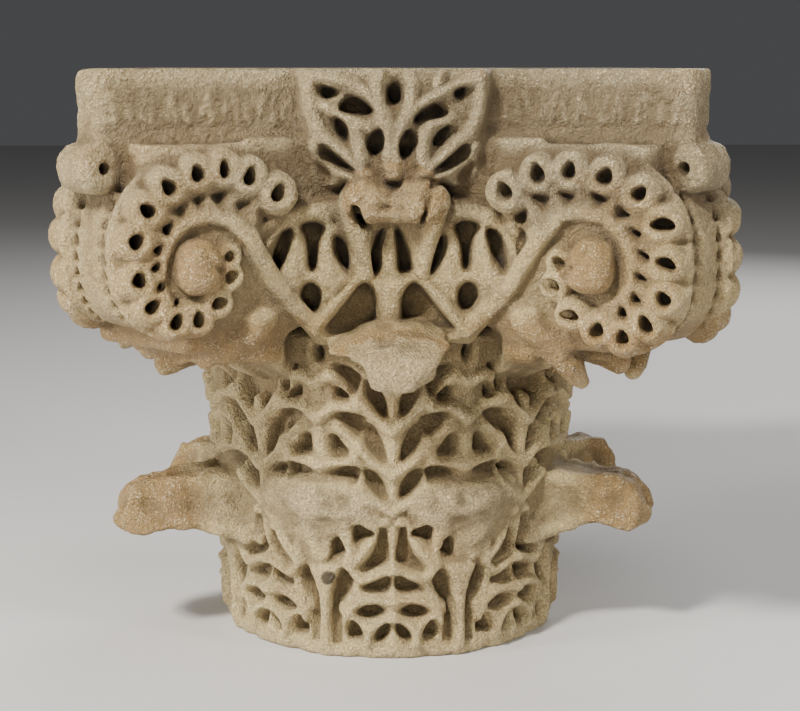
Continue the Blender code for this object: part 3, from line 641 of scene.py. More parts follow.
def add_volutes(quarter):
    """The corner block: two carved faces and the hollow rim between them."""
    face = volute_drawing(quarter.levels, quarter.hand)
    cut, x, out, z = quarter.window((20, 170), (20, 170), (150, BELL_TOP + 3))
    levels = cut[2]
    across, stand = volute_coordinates(x, out)
    across = across[..., 0]
    rise = face.laid(face.rise, across)[..., levels]
    holes = face.laid(face.holes, across)[..., levels]
    base = stand + FACE_GROUND
    front = drilled(base - rise, base, holes, 6.5)
    faces = np.maximum(front, front.transpose(1, 0, 2))

    # Between the faces the outline runs from one to the other
    turn_sum = cos(TURN) + sin(TURN)
    along = (x + out - EYE_X - EYE_OUT) / turn_sum
    spread = (EYE_OUT - EYE_X) + along * (sin(TURN) - cos(TURN))
    lean = np.clip(0.5 - 0.5 * (out - x) / np.maximum(spread, 8), 0, 1)
    outline = face.laid(face.outline, along[..., 0])[..., levels]
    smooth = face.laid(face.smooth, along[..., 0])[..., levels]
    off = np.abs(lean - 0.5) * 2
    inner = np.clip((0.82 - off) / 0.06, 0, 1)
    outline = outline + (smooth - outline) * inner
    ridge = np.exp(-(((off - 0.70) / 0.10) ** 2))
    angle = np.arctan2(z - EYE_Z, along)
    leaf = (angle / 0.46 + 0.5 * (out > x)) % 1.0
    cut_in = np.clip((0.24 * (1 - leaf) - np.abs(off - 0.36)) / 0.05, 0, 1) * np.clip(leaf / 0.14, 0, 1)
    rim = outline + 4.4 * inner - 4.2 * ridge + 9.0 * cut_in
    block = trim(rim, faces, 3.5)

    # Floor of the spiral and the stone behind it, up to the abacus
    up = z - EYE_Z
    p = across[..., None]
    recess = 5.2 + 0.42 * np.clip((-21 - p) * 0.5 + (2 - up) * 0.7, 0, 80) * np.clip((8 - p) / 6, 0, 1)
    recess = recess + (2.5 + 0.35 * np.clip(-38 - p, 0, 60)) * np.clip((up - 20) / 12, 0, 1)
    floor = stand + recess
    core = np.maximum(floor, floor.transpose(1, 0, 2))
    far = 172 + 17 * np.clip((z - 228) / 12, 0, 1)
    core = trim(core, (x + out) * 0.70711 - far, 6)
    near = np.minimum(x, out)
    core = trim(core, EYE_Z - 43 + 0.45 * np.clip(66 - near, 0, 30) - z, 5)
    left = profile([(166, 37), (176, 41), (210, 62), (236, 62), (246, 42)], z)
    core = trim(core, left - near, 1.5)
    block = join(block, core, 2.5)
    quarter.add(cut, np.maximum(block, z - BELL_TOP - 2), 2.0)

    # Stem that climbs from the foot of the lyre into the spiral
    cut, x, out, z = quarter.window((28, 84), (98, 160), (164, 244))
    climb = [(35.5, 110, 171), (41, 115, 179), (48.5, 121, 188), (56, 129, 198.5), (61.5, 136, 210),
             (66.5, 141.5, 220), (74, 145.5, 229)]
    stem = rod(x, out, z, climb, [4.2, 4.6, 4.8, 4.8, 4.6, 4.2, 3.4])
    quarter.add(cut, stem, 1.0)

    # Knob at the eye
    cut, x, out, z = quarter.window((70, 115), (130, 170), (EYE_Z - 20, EYE_Z + 20))
    across, stand = volute_coordinates(x, out)
    up = z - EYE_Z
    power = 2.6
    knob = np.abs((across - 0.8) / 11.4) ** power + np.abs((up + 0.5) / 13.2) ** power
    knob = (knob + np.abs((stand + 4) / 12.5) ** power) ** (1 / power)
    fold = stroke(across, up, [(-13, -6), (-8, -2), (-3.5, 1.5), (-1, 6), (3, 9)], [2.6, 2.4, 2.0, 1.6, 0.8])
    hump = stroke(across, up, [(-10, 4), (-5, 8)], 5.0)
    knob = (knob - 1) * 11.2 + 3.2 * np.clip(-fold / 2.2, 0, 1) + 1.4 * np.clip(-hump / 4, 0, 1)
    quarter.add(cut, knob, 1.0)


def add_roll(quarter):
    """Short roll across the corner, under the abacus."""
    cut, x, out, z = quarter.window((110, 170), (110, 170), (236, BELL_TOP + 6))
    diagonal = (x + out) * 0.70711
    side = np.abs(x - out) * 0.70711
    flat = np.sqrt((diagonal - 199.5) ** 2 + (z - 254.5) ** 2)
    roll = trim(flat - 12.0, side - 12.5, 6.0)
    eye = np.maximum(flat - 3.0, 5.5 - side)
    roll = np.maximum(roll, -eye)
    quarter.add(cut, roll, 3.0)


def carve_quarter(hand):
    quarter = Quarter(hand)
    add_bell(quarter)
    add_abacus(quarter)
    add_panel(quarter)
    add_volutes(quarter)
    add_fleuron(quarter)
    add_boss(quarter)
    add_roll(quarter)
    quarter.field = np.minimum(quarter.field, quarter.field.transpose(1, 0, 2))
    return quarter


# The whole block

class Block:
    """The four quarters together. Right and left halves of the front follow their own drawings."""

    def __init__(self):
        right = carve_quarter(1)
        left = carve_quarter(-1)
        self.side = np.concatenate([-right.side[::-1], right.side])
        self.levels = right.levels
        front_right = right.field[:, ::-1, :]
        back_left = right.field[::-1, :, :]
        front_left = left.field[::-1, ::-1, :]
        back_right = left.field
        front = np.concatenate([front_left, front_right], axis=0)
        back = np.concatenate([back_left, back_right], axis=0)
        self.field = np.concatenate([front, back], axis=1)

    def window(self, x, y, z):
        return grid_window((self.side, self.side, self.levels), (x, y, z))

    def around(self, angle, reach, half, low, high):
        """Box round a leaf at an angle from the front, with its own out and across."""
        a = radians(angle)
        ends = [(r, s) for r in (60, reach) for s in (-half, half)]
        xs = [r * sin(a) + s * cos(a) for r, s in ends]
        ys = [s * sin(a) - r * cos(a) for r, s in ends]
        cut, x, y, z = self.window((min(xs), max(xs)), (min(ys), max(ys)), (low, high))
        return cut, x * sin(a) - y * cos(a), x * cos(a) + y * sin(a), z

    def rough(self, cut, cell, height):
        """Uneven surface of a break, even over about a cell."""
        size = [s.stop - s.start for s in cut]
        counts = [max(2, int(n * STEP / cell) + 2) for n in size]
        lattice = random.uniform(-1, 1, counts).astype(np.float32)
        for axis, (n, count) in enumerate(zip(size, counts)):
            place = np.linspace(0, count - 1.001, n)
            index = place.astype(int)
            share = (place - index).astype(np.float32)
            share = share * share * (3 - 2 * share)
            along = [1, 1, 1]
            along[axis] = n
            share = share.reshape(along)
            before = np.take(lattice, index, axis)
            after = np.take(lattice, index + 1, axis)
            lattice = before * (1 - share) + after * share
        return lattice * height


def profile(places, at):
    return np.interp(at, [p[0] for p in places], [p[1] for p in places]).astype(np.float32)


def add_tongue(block, angle, tip):
    """Tip of a lower leaf, curled out from the bell like a spout, with hollows along its sides."""
    cut, out, across, z = block.around(angle, tip + 8, 36, 36, 98)
    top = profile([(84, 88), (100, 90.5), (tip - 14, 89.5), (tip - 7, 87), (tip - 2, 80), (tip + 2, 77)], out)
    under = profile([(84, 52), (97, 54), (106, 58.5), (118, 62.5), (tip - 22, 63), (tip - 11, 60.5),
                     (tip - 4, 61.5), (tip + 2, 66)], out)
    half = profile([(84, 29), (96, 24), (112, 19), (tip - 20, 17), (tip - 4, 13), (tip + 2, 8)], out)
    middle = (top + under) / 2
    thick = (top - under) / 2
    half = half - 5.0 * np.clip((z - under) / 22, 0, 1) ** 2 + 1.5
    side = np.abs(across) - half
    coves = np.exp(-(((out - tip + 17) / 6.5) ** 2)) + np.exp(-(((out - tip + 36) / 8.0) ** 2))
    side = side + 3.0 * coves * np.exp(-(((z - 73) / 9.0) ** 2))
    form = trim(side, np.abs(z - middle) - thick, 4.0)
    form = trim(form, out - tip + 1.5 * np.sin(across * 0.5), 4.0)
    rib = 1.8 * np.exp(-((across / 3.0) ** 2)) * (z < middle)
    dish = 2.4 * np.exp(-((across / 7.0) ** 2)) * (z > middle) * np.clip((out - 100) / 20, 0, 1)
    worn_off = ridged(block, cut, 11, 1.5) + block.rough(cut, 5, 0.7) + block.rough(cut, 2.5, 0.35)
    block.field[cut] = join(block.field[cut], form - rib + dish + worn_off, 3.0)


def add_broken_root(block, angle):
    """What is left of a lower leaf where its tip broke away: a rough ledge over the stalk, pierced by
    the holes beside it."""
    cut, out, across, z = block.around(angle, 124, 46, 46, 98)
    hand = 1 if angle < 0 else -1
    round_bell = np.arctan2(across, out) * ARC * hand
    edge = [(-30, 95), (-37, 88), (-40, 78), (-37, 64), (-25, 63.5), (-24, 58), (-19, 60.5), (-14.5, 59.5),
            (-12, 54.5), (-9.5, 51.5), (-4, 50), (1, 51.2), (4, 54.5), (4.5, 62), (8, 66), (11, 63),
            (11.5, 58), (16, 61), (16, 70), (20, 72.5), (28, 67.5), (31, 76), (29, 86), (22, 91), (10, 94.5),
            (-8, 93)]
    flat = np.broadcast_to(round_bell, out.shape)
    region = shape(flat, z, edge, 0.1)
    belly = [(46, 92), (52, 93.5), (60, 95), (70, 97.5), (80, 99.8), (86, 100.2), (90, 98.6), (95, 95)]
    swell = profile(belly, z)
    swell = swell + 1.8 * np.exp(-((round_bell + 2) / 14) ** 2) * np.clip((z - 60) / 20, 0, 1)
    swell = swell - 0.0035 * round_bell * round_bell + 0.9 * np.sin(round_bell * 0.23 + angle)
    radial = np.sqrt(out * out + across * across)
    torn = ridged(block, cut, 15, 1.6) + ridged(block, cut, 6, 0.8) + block.rough(cut, 2, 0.7)
    form = trim((radial - swell) * 0.95 + torn, region, 1.0)
    block.field[cut] = join(block.field[cut], form, 0.6)


def ridged(block, cut, cell, height):
    """Unevenness with sharp ridges, as marble breaks."""
    return np.abs(block.rough(cut, cell, 2.0)) * height - height * 0.5


def add_face_tip(block, angle, broken):
    """Tip of an upper leaf in the middle of a side, snapped off, with its two side lobes."""
    cut, out, across, z = block.around(angle, 156, 38, 142, 190)
    z = z + 2.0
    across = across * 0.95
    front_edge = [(-29.5, 167), (-29, 170.5), (-17, 176.5), (-8, 181), (3, 181.8), (12, 181), (24.5, 175),
                  (25, 171), (18.5, 164), (16, 156), (6, 151.5), (-2, 148.6), (-7, 149), (-11, 153.5),
                  (-12.5, 161.5), (-18, 167)]
    if not broken:
        front_edge = [(-26, 168), (-24, 173), (-12, 179), (0, 181.5), (12, 179), (24, 173), (26, 168),
                      (17, 163), (12, 155), (5, 150.5), (-5, 150.5), (-12, 155), (-17, 163)]
    outline = shape(across, z, front_edge, 0.12)
    slope = (out - 149 + 0.014 * across * across + (z - 166) * 1.9) / 2.1
    front = out - 148.5 + 0.010 * across * across + 0.22 * np.abs(z - 160)
    if broken:
        facet = (out - 150) * 0.83 + (across - 2) * 0.45 - 2
        front = np.maximum(front, np.maximum(facet, (out - 151) * 0.85 - (across + 4) * 0.42 - 3))
    under = (152 - z - (out - 138) * 0.25) * 0.9
    form = trim(trim(outline, np.maximum(slope, front), 2.0), under, 2.0)
    form = form + ridged(block, cut, 12, 1.6) * broken + block.rough(cut, 4, 0.7)
    block.field[cut] = join(block.field[cut], form, 1.5)


def add_corner_tip(block, angle, broken):
    """Tip of an upper leaf under a corner: it spreads beneath the volutes, with a ridge to each side."""
    cut, out, across, z = block.around(angle, 178, 58, 134, 192)
    tip = 160.0
    middle = (profile([(90, 176), (120, 178), (150, 171), (tip, 166)], out)
              + profile([(96, 144), (106, 150), (120, 158), (138, 163), (150, 162), (160, 160)], out)) / 2
    thick = profile([(90, 15), (106, 12), (120, 10), (140, 7), (160, 5)], out)
    half = profile([(90, 24), (104, 30), (118, 42), (132, 46), (142, 38), (150, 24), (tip, 10)], out)
    form = trim(np.abs(across) - half, np.abs(z - middle) - thick, 6.0)
    form = trim(form, out - tip, 5.0)
    drop_end = 15 if broken else 4
    for hand in (-1, 1):
        path = [(136, 46 * hand, 182), (141, 38 * hand, 173), (147, 29 * hand, 169 - drop_end * 0.6),
                (150, 21 * hand, 165 - drop_end)]
        form = join(form, rod(out, across, z, path, [8.0, 8.0, 6.6, 4.4]), 4.0)
        path = [(116, 36 * hand, 178), (126, 27 * hand, 168), (138, 19 * hand, 161)]
        form = join(form, rod(out, across, z, path, [6.0, 6.0, 4.6]), 3.0)
    spine = rod(out, across, z, [(104, 0, 152), (124, 0, 163), (146, 0, 163), (157, 0, 158)], [5, 7, 8, 6])
    form = join(form, spine, 4.0)
    form = form + ridged(block, cut, 12, 1.0) + block.rough(cut, 5, 0.6) + block.rough(cut, 3, 0.3)
    block.field[cut] = join(block.field[cut], form, 6.0)


def broken_places(points):
    """Share of fresh break at each point of the mesh, in millimetres."""
    x, y, z = points.T
    out = -y
    found = np.zeros(len(points), np.float32)
    for hand in (-1, 1):
        angle = np.degrees(np.arctan2(hand * x, out))
        ledge = np.clip(1 - np.abs(angle - 22.5) / 21.0, 0, 1) > 0
        rho = np.hypot(x, y)
        here = ledge & (z > 52) & (z < 91) & (rho > 96.5)
        found = np.maximum(found, here * np.clip((rho - 96) / 4, 0, 1))
    tip = (out > 132) & (np.abs(x) < 22) & (z > 146) & (z < 178)
    found = np.maximum(found, tip * 0.75)
    boss = (out > 131) & (np.abs(x + 1) < 15) & (z > 227) & (z < 247)
    return np.maximum(found, boss * 0.15)


def golden_places(points):
    """Share of warm patina at each point: on the tips and knobs that stand out and were touched."""
    x, y, z = points.T
    rho = np.hypot(x, y)
    tongues = np.clip((rho - 108) / 14, 0, 1) * (z < 100)
    tips = np.clip((rho - 118) / 12, 0, 1) * np.clip((z - 146) / 6, 0, 1) * np.clip((186 - z) / 8, 0, 1)
    found = np.maximum(tongues, tips)
    near, far = np.minimum(np.abs(x), np.abs(y)), np.maximum(np.abs(x), np.abs(y))
    knob = np.hypot(near - EYE_X, z - EYE_Z)
    found = np.maximum(found, np.clip((16 - knob) / 4, 0, 1) * (far > EYE_OUT - 12))
    ring = np.clip((46 - knob) / 6, 0, 1) * np.clip((far - EYE_OUT + 3) / 3, 0, 1) * 0.6
    found = np.maximum(found, ring * (near > EYE_X - 8))
    boss = np.hypot(x, (z - 238) * 1.3) < 25
    return np.maximum(found, boss * (far > 128) * (near < 26) * 0.9).astype(np.float32)


def wear(block):
    """Chips and worn stretches, as the block shows them."""
    cut, x, y, z = block.window((-170, 170), (-170, 170), (BELL_TOP - 2, HEIGHT + 9))
    for cell, height in ABACUS_WEAR:
        block.field[cut] = block.field[cut] + block.rough(cut, cell, height)
    rim = np.clip((z - HEIGHT + RIM_HEIGHT) / RIM_HEIGHT, 0, 1)
    bites = np.clip(block.rough(cut, 9, 1.0) + block.rough(cut, 4, 0.5) - 0.36, 0, 1)
    block.field[cut] = block.field[cut] + CHIP_DEPTH * bites * rim
    snapped, _, _, _ = block.window((-24, 24), (-150, -126), (226, 250))
    torn = ridged(block, snapped, 6, 1.5) + block.rough(snapped, 2.4, 0.7)
    block.field[snapped] = block.field[snapped] + torn
    lost_x, lost_y, lost_z = LOST_CORNER
    lost = np.sqrt((x - lost_x) ** 2 + (y - lost_y) ** 2 + (z - lost_z) ** 2)
    block.field[cut] = np.maximum(block.field[cut], LOST_CORNER_RADIUS - lost)
    cut, x, y, z = block.window((-170, 170), (-170, 170), (-9, BELL_TOP))
    for cell, height in BODY_WEAR:
        block.field[cut] = block.field[cut] + block.rough(cut, cell, height)
    block.field = np.maximum(block.field, block.levels[None, None, :] - HEIGHT)
    block.field = np.maximum(block.field, -block.levels[None, None, :])
    limit = np.abs(block.side) - REACH
    block.field = np.maximum(block.field, np.maximum(limit[:, None, None], limit[None, :, None]))


def soften(field, passes=1):
    """A light average, which rounds the edges as wear does."""
    field = np.clip(field, -2.5, 2.5)
    for _ in range(passes):
        for axis in range(3):
            near = [slice(None)] * 3
            far = [slice(None)] * 3
            mid = [slice(None)] * 3
            near[axis], mid[axis], far[axis] = slice(0, -2), slice(1, -1), slice(2, None)
            result = field.copy()
            result[tuple(mid)] = 0.5 * field[tuple(mid)] + 0.25 * (field[tuple(near)] + field[tuple(far)])
            field = result
    return field


# From the field to a mesh

def surface(field, origin, step):
    """Points and quads where the field changes sign, one point in each cell that it crosses."""
    inside = field < 0
    count = np.zeros([n - 1 for n in field.shape], np.uint8)
    for i in (0, 1):
        for j in (0, 1):
            for k in (0, 1):
                nx, ny, nz = count.shape
                count += inside[i:i + nx, j:j + ny, k:k + nz]
    cells = np.nonzero((count > 0) & (count < 8))
    number = np.full(count.shape, -1, np.int32)
    number[cells] = np.arange(cells[0].size, dtype=np.int32)
    corner = {}
    for i in (0, 1):
        for j in (0, 1):
            for k in (0, 1):
                corner[i, j, k] = field[cells[0] + i, cells[1] + j, cells[2] + k]
    total = np.zeros((cells[0].size, 3), np.float32)
    hits = np.zeros(cells[0].size, np.float32)
    for axis in range(3):
        for a in (0, 1):
            for b in (0, 1):
                start = [a, b]
                start.insert(axis, 0)
                end = [a, b]
                end.insert(axis, 1)
                v0, v1 = corner[tuple(start)], corner[tuple(end)]
                crossed = (v0 < 0) != (v1 < 0)
                share = np.where(crossed, v0 / np.where(crossed, v0 - v1, 1), 0)
                for k in range(3):
                    total[:, k] += crossed * (share if k == axis else start[k])
                hits += crossed
    points = (np.stack(cells, 1) + total / hits[:, None]) * step + np.array(origin, np.float32)
    quads = []
    for axis in range(3):
        here = [slice(1, -1)] * 3
        there = [slice(1, -1)] * 3
        here[axis] = slice(0, -1)
        there[axis] = slice(1, None)
        first, second = inside[tuple(here)], inside[tuple(there)]
        b, c = (axis + 1) % 3, (axis + 2) % 3
        for flip in (False, True):
            found = np.nonzero((first & ~second) if flip else (~first & second))
            base = [found[k] + (0 if axis == k else 1) for k in range(3)]
            ring = []
            for db, dc in ((0, 0), (-1, 0), (-1, -1), (0, -1)):
                at = list(base)
                at[b] = at[b] + db
                at[c] = at[c] + dc
                ring.append(number[at[0], at[1], at[2]])
            quads.append(np.stack(ring[::-1] if flip else ring, 1))
    return points, np.concatenate(quads)


def largest_part(points, quads):
    """Only the block itself, without crumbs that a break has cut loose."""
    label = np.arange(len(points), dtype=np.int64)
    while True:
        low = label[quads].min(1)
        fresh = label.copy()
        for k in range(4):
            np.minimum.at(fresh, quads[:, k], low)
        fresh = fresh[fresh]
        if np.array_equal(fresh, label):
            break
        label = fresh
    names, counts = np.unique(label, return_counts=True)
    keep = label == names[counts.argmax()]
    renumber = np.cumsum(keep) - 1
    quads = renumber[quads[keep[quads[:, 0]]]]
    return points[keep], quads


def mesh_from(name, points, quads):
    mesh = bpy.data.meshes.new(name)
    mesh.vertices.add(len(points))
    mesh.vertices.foreach_set("co", (points * MM).astype(np.float32).ravel())
    mesh.loops.add(quads.size)
    mesh.loops.foreach_set("vertex_index", quads.astype(np.int32).ravel())
    mesh.polygons.add(len(quads))
    mesh.polygons.foreach_set("loop_start", np.arange(0, quads.size, 4, dtype=np.int32))
    mesh.update(calc_edges=True)
    return mesh


def fewer_triangles(piece, share):
    modifier = piece.modifiers.new("fewer triangles", "DECIMATE")
    modifier.ratio = share
    evaluated = piece.evaluated_get(bpy.context.evaluated_depsgraph_get())
    mesh = bpy.data.meshes.new_from_object(evaluated)
    piece.modifiers.clear()
    piece.data = mesh


def averaged(values, radius):
    """Mean over a box of cells round each cell, twice, so that it falls off softly."""
    for _ in range(2):
        for axis in range(3):
            pad = [(0, 0)] * 3
            pad[axis] = (radius + 1, radius)
            total = np.cumsum(np.pad(values, pad, mode="edge"), axis=axis, dtype=np.float32)
            low = [slice(None)] * 3
            high = [slice(None)] * 3
            low[axis] = slice(0, -(2 * radius + 1))
            high[axis] = slice(2 * radius + 1, None)
            values = (total[tuple(high)] - total[tuple(low)]) / (2 * radius + 1)
    return values


def sampled(values, places):
    """Values of a grid at places given in cells, between the cells by their shares."""
    places = np.clip(places, 0, np.array(values.shape) - 1.001)
    index = places.astype(np.int32)
    share = places - index
    found = np.zeros(len(places), np.float32)
    for i in (0, 1):
        for j in (0, 1):
            for k in (0, 1):
                step = np.array((i, j, k))
                weight = np.abs(1 - step - share).prod(1)
                found += weight * values[tuple((index + step).T)]
    return found


def vertex_data(mesh):
    points = np.empty(len(mesh.vertices) * 3, np.float32)
    mesh.vertices.foreach_get("co", points)
    normals = np.empty(len(mesh.vertices) * 3, np.float32)
    mesh.vertices.foreach_get("normal", normals)
    return points.reshape(-1, 3), normals.reshape(-1, 3)


def record(mesh, name, values):
    layer = mesh.attributes.new(name, "FLOAT", "POINT")
    layer.data.foreach_set("value", values.astype(np.float32))


# Where the share of stone round a point is taken, and how far round it, in millimetres
SAMPLE_DEPTH = 1.5
CLOSE_REACH = 4.0
WIDE_REACH = 11.0


def note_hollows(mesh, field, origin):
    """Keeps for each point how deep it lies in the carving, close by and further round it. The mesh's
    normals point into the stone, and the samples are taken there."""
    coarse = 2
    stone = np.clip(0.5 - field[::coarse, ::coarse, ::coarse] / (coarse * STEP), 0, 1).astype(np.float32)
    points, normals = vertex_data(mesh)
    places = ((points + normals * SAMPLE_DEPTH * MM) / MM - np.array(origin)) / (coarse * STEP)
    for name, reach in (("hollow", CLOSE_REACH), ("shelter", WIDE_REACH)):
        radius = max(1, int(round(reach / (coarse * STEP))))
        record(mesh, name, sampled(averaged(stone, radius), places))


def capital():
    block = Block()
    for angle, tip in TONGUES:
        add_tongue(block, angle, tip)
    for angle in BROKEN_LEAVES:
        add_broken_root(block, angle)
    for turn in range(4):
        add_face_tip(block, 90 * turn, turn == 0)
        add_corner_tip(block, 90 * turn + 45, turn in (0, 2))
    wear(block)
    field = soften(block.field)
    origin = (block.side[0], block.side[0], block.levels[0])
    points, quads = surface(field, origin, STEP)
    points, quads = largest_part(points, quads)
    piece = bpy.data.objects.new("capital_stone", mesh_from("capital_stone", points, quads))
    bpy.context.scene.collection.objects.link(piece)
    fewer_triangles(piece, min(1.0, TRIANGLES / (2 * len(quads))))
    piece.data.polygons.foreach_set("use_smooth", [True] * len(piece.data.polygons))
    note_hollows(piece.data, field, origin)
    points, _ = vertex_data(piece.data)
    points = np.clip(points, (-REACH * MM, -REACH * MM, 0), (REACH * MM, REACH * MM, HEIGHT * MM))
    piece.data.vertices.foreach_set("co", points.ravel())
    piece.data.update()
    record(piece.data, "broken", broken_places(points / MM))
    record(piece.data, "golden", golden_places(points / MM))
    return piece


class Shade:
    """A value or colour in a material. Sums on it add Math nodes, so that they read as sums."""

    def __init__(self, finish, socket):
        self.finish = finish
        self.socket = socket

    def sum(self, operation, first, second):
        return self.finish.node("ShaderNodeMath", {"operation": operation}, {0: first, 1: second})

    def __add__(self, other):
        return self.sum("ADD", self, other)

    def __radd__(self, other):
        return self.sum("ADD", other, self)

    def __sub__(self, other):
        return self.sum("SUBTRACT", self, other)

    def __rsub__(self, other):
        return self.sum("SUBTRACT", other, self)

    def __mul__(self, other):
        return self.sum("MULTIPLY", self, other)

    def __rmul__(self, other):
        return self.sum("MULTIPLY", other, self)

    def from_to(self, low, high):
        """0 below the first value and 1 above the second, or the other way round."""
        settings = {"interpolation_type": "SMOOTHSTEP"}
        inputs = {"Value": self, "From Min": low, "From Max": high}
        return self.finish.node("ShaderNodeMapRange", settings, inputs)


class Finish:
    """A material in the making."""

    def __init__(self, name):
        self.material = bpy.data.materials.new(name)
        self.material.use_nodes = True
        self.tree = self.material.node_tree
        self.shader = self.tree.nodes["Principled BSDF"]

    def node(self, kind, settings, inputs, output=0):
        """Any node, from its type, its settings and the values or links of its sockets."""
        made = self.tree.nodes.new(kind)
        for name, value in settings.items():
            setattr(made, name, value)
        for name, value in inputs.items():
            self.feed(made.inputs[name], value)
        return Shade(self, made.outputs[output])

    def feed(self, socket, value):
        if isinstance(value, Shade):
            self.tree.links.new(value.socket, socket)
        else:
            socket.default_value = value

    def mix(self, share, first, second, way="MIX"):
        """One colour into another by a share."""
        settings = {"data_type": "RGBA", "blend_type": way}
        return self.node("ShaderNodeMix", settings, {0: share, 6: first, 7: second}, 2)

    def noise(self, place, scale, detail=3.0, rough=0.55, warp=0.0):
        inputs = {"Vector": place, "Scale": scale, "Detail": detail, "Roughness": rough, "Distortion": warp}
        return self.node("ShaderNodeTexNoise", {}, inputs)

    def kept(self, name):
        """What was noted on the mesh under a name."""
        return self.node("ShaderNodeAttribute", {"attribute_name": name}, {}, 2)


HONEY = (0.52, 0.378, 0.168, 1)
CREAM = (0.70, 0.555, 0.278, 1)
GOLD = (0.355, 0.215, 0.072, 1)
GREY_VEIL = (0.27, 0.228, 0.145, 1)
RUST = (0.48, 0.29, 0.125, 1)
# Pale crystal colour, painted on as glints
CRYSTAL_GLINT = (0.95, 0.82, 0.53, 1)
BREAK = (0.97, 0.76, 0.42, 1)
# Near black: painted shade deep in the holes, and the dark spot on the stalk
BLACK_SPOT_AND_PAINTED_SHADE = (0.024, 0.015, 0.007, 1)
# Earth brown: stains, dark grain and pits, and also painted shade in the hollows
EARTH_AND_PAINTED_SHADE = (0.135, 0.088, 0.038, 1)
MARK = (-0.0332, -0.0892, 0.0430)


def marble():
    """Old marble: honey patina on worn parts, grey veil above, earth and painted shade in the hollows,
    painted highlights on raised places, painted glints on the crystals, and pale breaks.
    """
    stone = Finish("old_marble")
    place = stone.node("ShaderNodeTexCoord", {}, {}, 3)
    broad = stone.noise(place, 14, 4.0, 0.6, 0.4)
    patch = stone.noise(place, 46, 5.0, 0.62, 0.3)
    mottle = stone.noise(place, 190, 5.0, 0.66)
    grain = stone.noise(place, 800, 3.0, 0.7)
    speck = stone.node("ShaderNodeTexVoronoi", {}, {"Vector": place, "Scale": 520.0})
    height = stone.node("ShaderNodeSeparateXYZ", {}, {"Vector": place}, 2)
    rightward = stone.node("ShaderNodeSeparateXYZ", {}, {"Vector": place}, 0).from_to(-0.13, 0.05)
    hollow = stone.kept("hollow")
    shelter = stone.kept("shelter")
    broken = stone.kept("broken")
    golden = stone.kept("golden")
    rough_grain = grain.from_to(0.30, 0.70)
    rough_mottle = mottle.from_to(0.32, 0.68)

    body = stone.mix((broad * 0.6 + patch * 0.4).from_to(0.36, 0.62), HONEY, CREAM)
    upper = height.from_to(0.20, 0.262)
    veil = (upper * 0.70 + patch * 0.9 - 0.30).from_to(0.12, 0.80)
    body = stone.mix(veil * (0.46 + rightward * 0.34), body, GREY_VEIL)
    # Paler towards the foot: a paler tone of the stone, and painted light on the lower bell
    body = stone.mix(height.from_to(0.16, 0.05) * 0.78, body, CREAM)
    body = stone.mix(golden * (patch + mottle * 0.4).from_to(0.30, 0.58) * 0.92, body, GOLD)
    # Paler on raised places that the hollows leave bare: wear, and painted highlight on ridges and edges
    worn = (0.62 - hollow + mottle * 0.16).from_to(0.12, 0.34)
    body = stone.mix(worn * rough_mottle * (0.54 - golden * 0.42), body, CREAM)
    rust = (broad + mottle * 0.35).from_to(0.68, 0.84)
    body = stone.mix(rust * 0.45, body, RUST)
    stain = (patch * 0.5 + mottle * 0.5).from_to(0.50, 0.64)
    body = stone.mix(stain * 0.46, body, EARTH_AND_PAINTED_SHADE)
    body = stone.mix(broken * 0.80, body, BREAK)
    body = stone.mix((1 - rough_grain) * (0.60 + broken * 0.12), body, EARTH_AND_PAINTED_SHADE)
    # Painted glints: pale specks on the crystals, fewer in sheltered places
    crystals = stone.noise(place, 1000, 2.0, 0.6)
    glint = (crystals * 0.7 + mottle * 0.3).from_to(0.54, 0.64)
    body = stone.mix(glint * (1 - shelter * 0.6) * 0.66, body, CRYSTAL_GLINT)
    # Darker in the hollows and sheltered places: dirt, and painted shade where the carving closes round
    dirt_and_painted_shade = (hollow + shelter * 0.35 + mottle * 0.24 - 0.12).from_to(0.64, 0.88)
    body = stone.mix(dirt_and_painted_shade * (0.62 + upper * 0.3 - height.from_to(0.256, 0.266) * 0.2), body, EARTH_AND_PAINTED_SHADE)
    # Painted shade: near black deep in the drilled holes, more of it higher up
    deep = (hollow + mottle * 0.06).from_to(0.76, 0.94)
    body = stone.mix(deep * (0.34 + height.from_to(0.10, 0.20) * 0.60), body, BLACK_SPOT_AND_PAINTED_SHADE)
    pits = (speck + patch * 0.12).from_to(0.17, 0.11)
    body = stone.mix(pits * 0.55, body, EARTH_AND_PAINTED_SHADE)
    to_mark = stone.node("ShaderNodeVectorMath", {"operation": "DISTANCE"}, {0: place, 1: MARK}, 1)
    mark = (to_mark + mottle * 0.003).from_to(0.0064, 0.0046)
    body = stone.mix(mark * 0.9, body, BLACK_SPOT_AND_PAINTED_SHADE)
    stone.feed(stone.shader.inputs["Base Color"], body)

    dull = 0.52 + rough_grain * 0.22 - worn * 0.12 + broken * 0.12
    stone.feed(stone.shader.inputs["Roughness"], dull)
    stone.shader.inputs["Specular IOR Level"].default_value = 0.5

    eroded = rough_mottle * (0.70 + upper * 0.45 + broken * 0.5) + rough_grain * (0.40 + broken * 0.75)
    relief = eroded - pits * 0.30 + patch * 1.0
    bump = stone.node("ShaderNodeBump", {}, {"Height": relief, "Strength": 1.0, "Distance": 0.0024})
    stone.feed(stone.shader.inputs["Normal"], bump)
    return stone.material


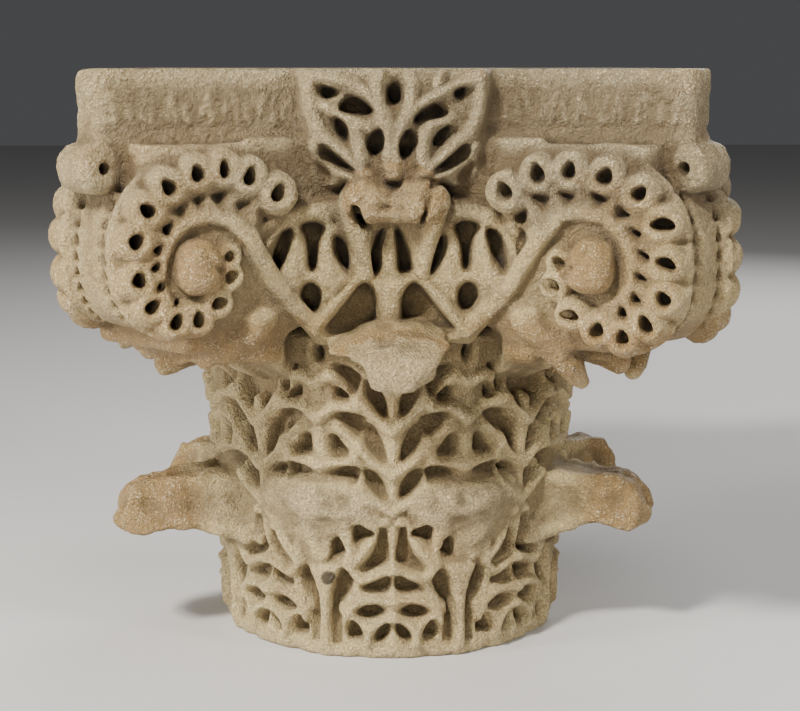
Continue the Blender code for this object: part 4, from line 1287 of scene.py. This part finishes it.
# Lamps: name, place in metres, size, power and colour
WHITE = (1, 1, 1)
LAMPS = (
    ("key", (-0.60, -1.05, 1.20), 0.22, 46, (1.0, 0.965, 0.90)),
    ("right", (1.20, -0.80, 0.75), 0.30, 12, (1.0, 0.97, 0.92)),
    ("left", (-1.30, -0.60, 0.28), 0.35, 23, (1.0, 0.98, 0.94)),
    ("top", (0.15, 0.25, 1.5), 0.6, 5, WHITE),
    ("back", (0.7, 1.5, 0.9), 0.5, 13, WHITE),
    ("front", (-0.3, -1.9, 0.10), 0.5, 16, (1.0, 0.98, 0.94)),
)
LAMP_TARGET = (0, 0, 0.17)
FLOOR_COLOUR = (0.55, 0.54, 0.53, 1)
FLOOR_HALF = 6.0
SKY_COLOUR = (0.62, 0.63, 0.66, 1)
SKY_STRENGTH = 0.11


def light(name, place, target, size, power, colour):
    lamp = bpy.data.lights.new(name, "AREA")
    lamp.shape = "DISK"
    lamp.size = size
    lamp.energy = power
    lamp.color = colour
    made = bpy.data.objects.new(name, lamp)
    made.location = place
    made.rotation_euler = (Vector(target) - Vector(place)).to_track_quat("-Z", "Y").to_euler()
    bpy.context.scene.collection.objects.link(made)


def studio():
    mesh = bpy.data.meshes.new("floor")
    half = FLOOR_HALF
    corners = [(-half, -half, 0), (half, -half, 0), (half, half, 0), (-half, half, 0)]
    mesh.from_pydata(corners, [], [(0, 1, 2, 3)])
    floor = bpy.data.objects.new("floor", mesh)
    bpy.context.scene.collection.objects.link(floor)
    paint = bpy.data.materials.new("pale_floor")
    paint.use_nodes = True
    paint.node_tree.nodes["Principled BSDF"].inputs["Base Color"].default_value = FLOOR_COLOUR
    paint.node_tree.nodes["Principled BSDF"].inputs["Roughness"].default_value = 0.8
    mesh.materials.append(paint)
    world = bpy.data.worlds.new("studio")
    world.use_nodes = True
    world.node_tree.nodes["Background"].inputs["Color"].default_value = SKY_COLOUR
    world.node_tree.nodes["Background"].inputs["Strength"].default_value = SKY_STRENGTH
    bpy.context.scene.world = world
    for name, place, size, power, colour in LAMPS:
        light(name, place, LAMP_TARGET, size, power, colour)


# The photo's viewpoint, in metres: it looks at the axis, a little to its right and downwards
CAMERA_PLACE = Vector((-0.01956, -0.97780, 0.301))
CAMERA_RIGHTWARD = radians(0.35)
CAMERA_DOWN = radians(9.137)
CAMERA_LENS = 81
CAMERA_SENSOR = 36


def camera():
    made = bpy.data.objects.new("camera", bpy.data.cameras.new("camera"))
    made.data.lens = CAMERA_LENS
    made.data.sensor_width = CAMERA_SENSOR
    place = CAMERA_PLACE
    turn = atan2(-place.x, -place.y) + CAMERA_RIGHTWARD
    pitch = CAMERA_DOWN
    forward = Vector((sin(turn) * cos(pitch), cos(turn) * cos(pitch), -sin(pitch)))
    made.location = place
    made.rotation_euler = forward.to_track_quat("-Z", "Y").to_euler()
    bpy.context.scene.collection.objects.link(made)
    bpy.context.scene.camera = made


def build():
    piece = capital()
    piece.data.materials.clear()
    piece.data.materials.append(marble())
    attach(piece, "root")
    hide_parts("capital")
    studio()
    camera()


build()
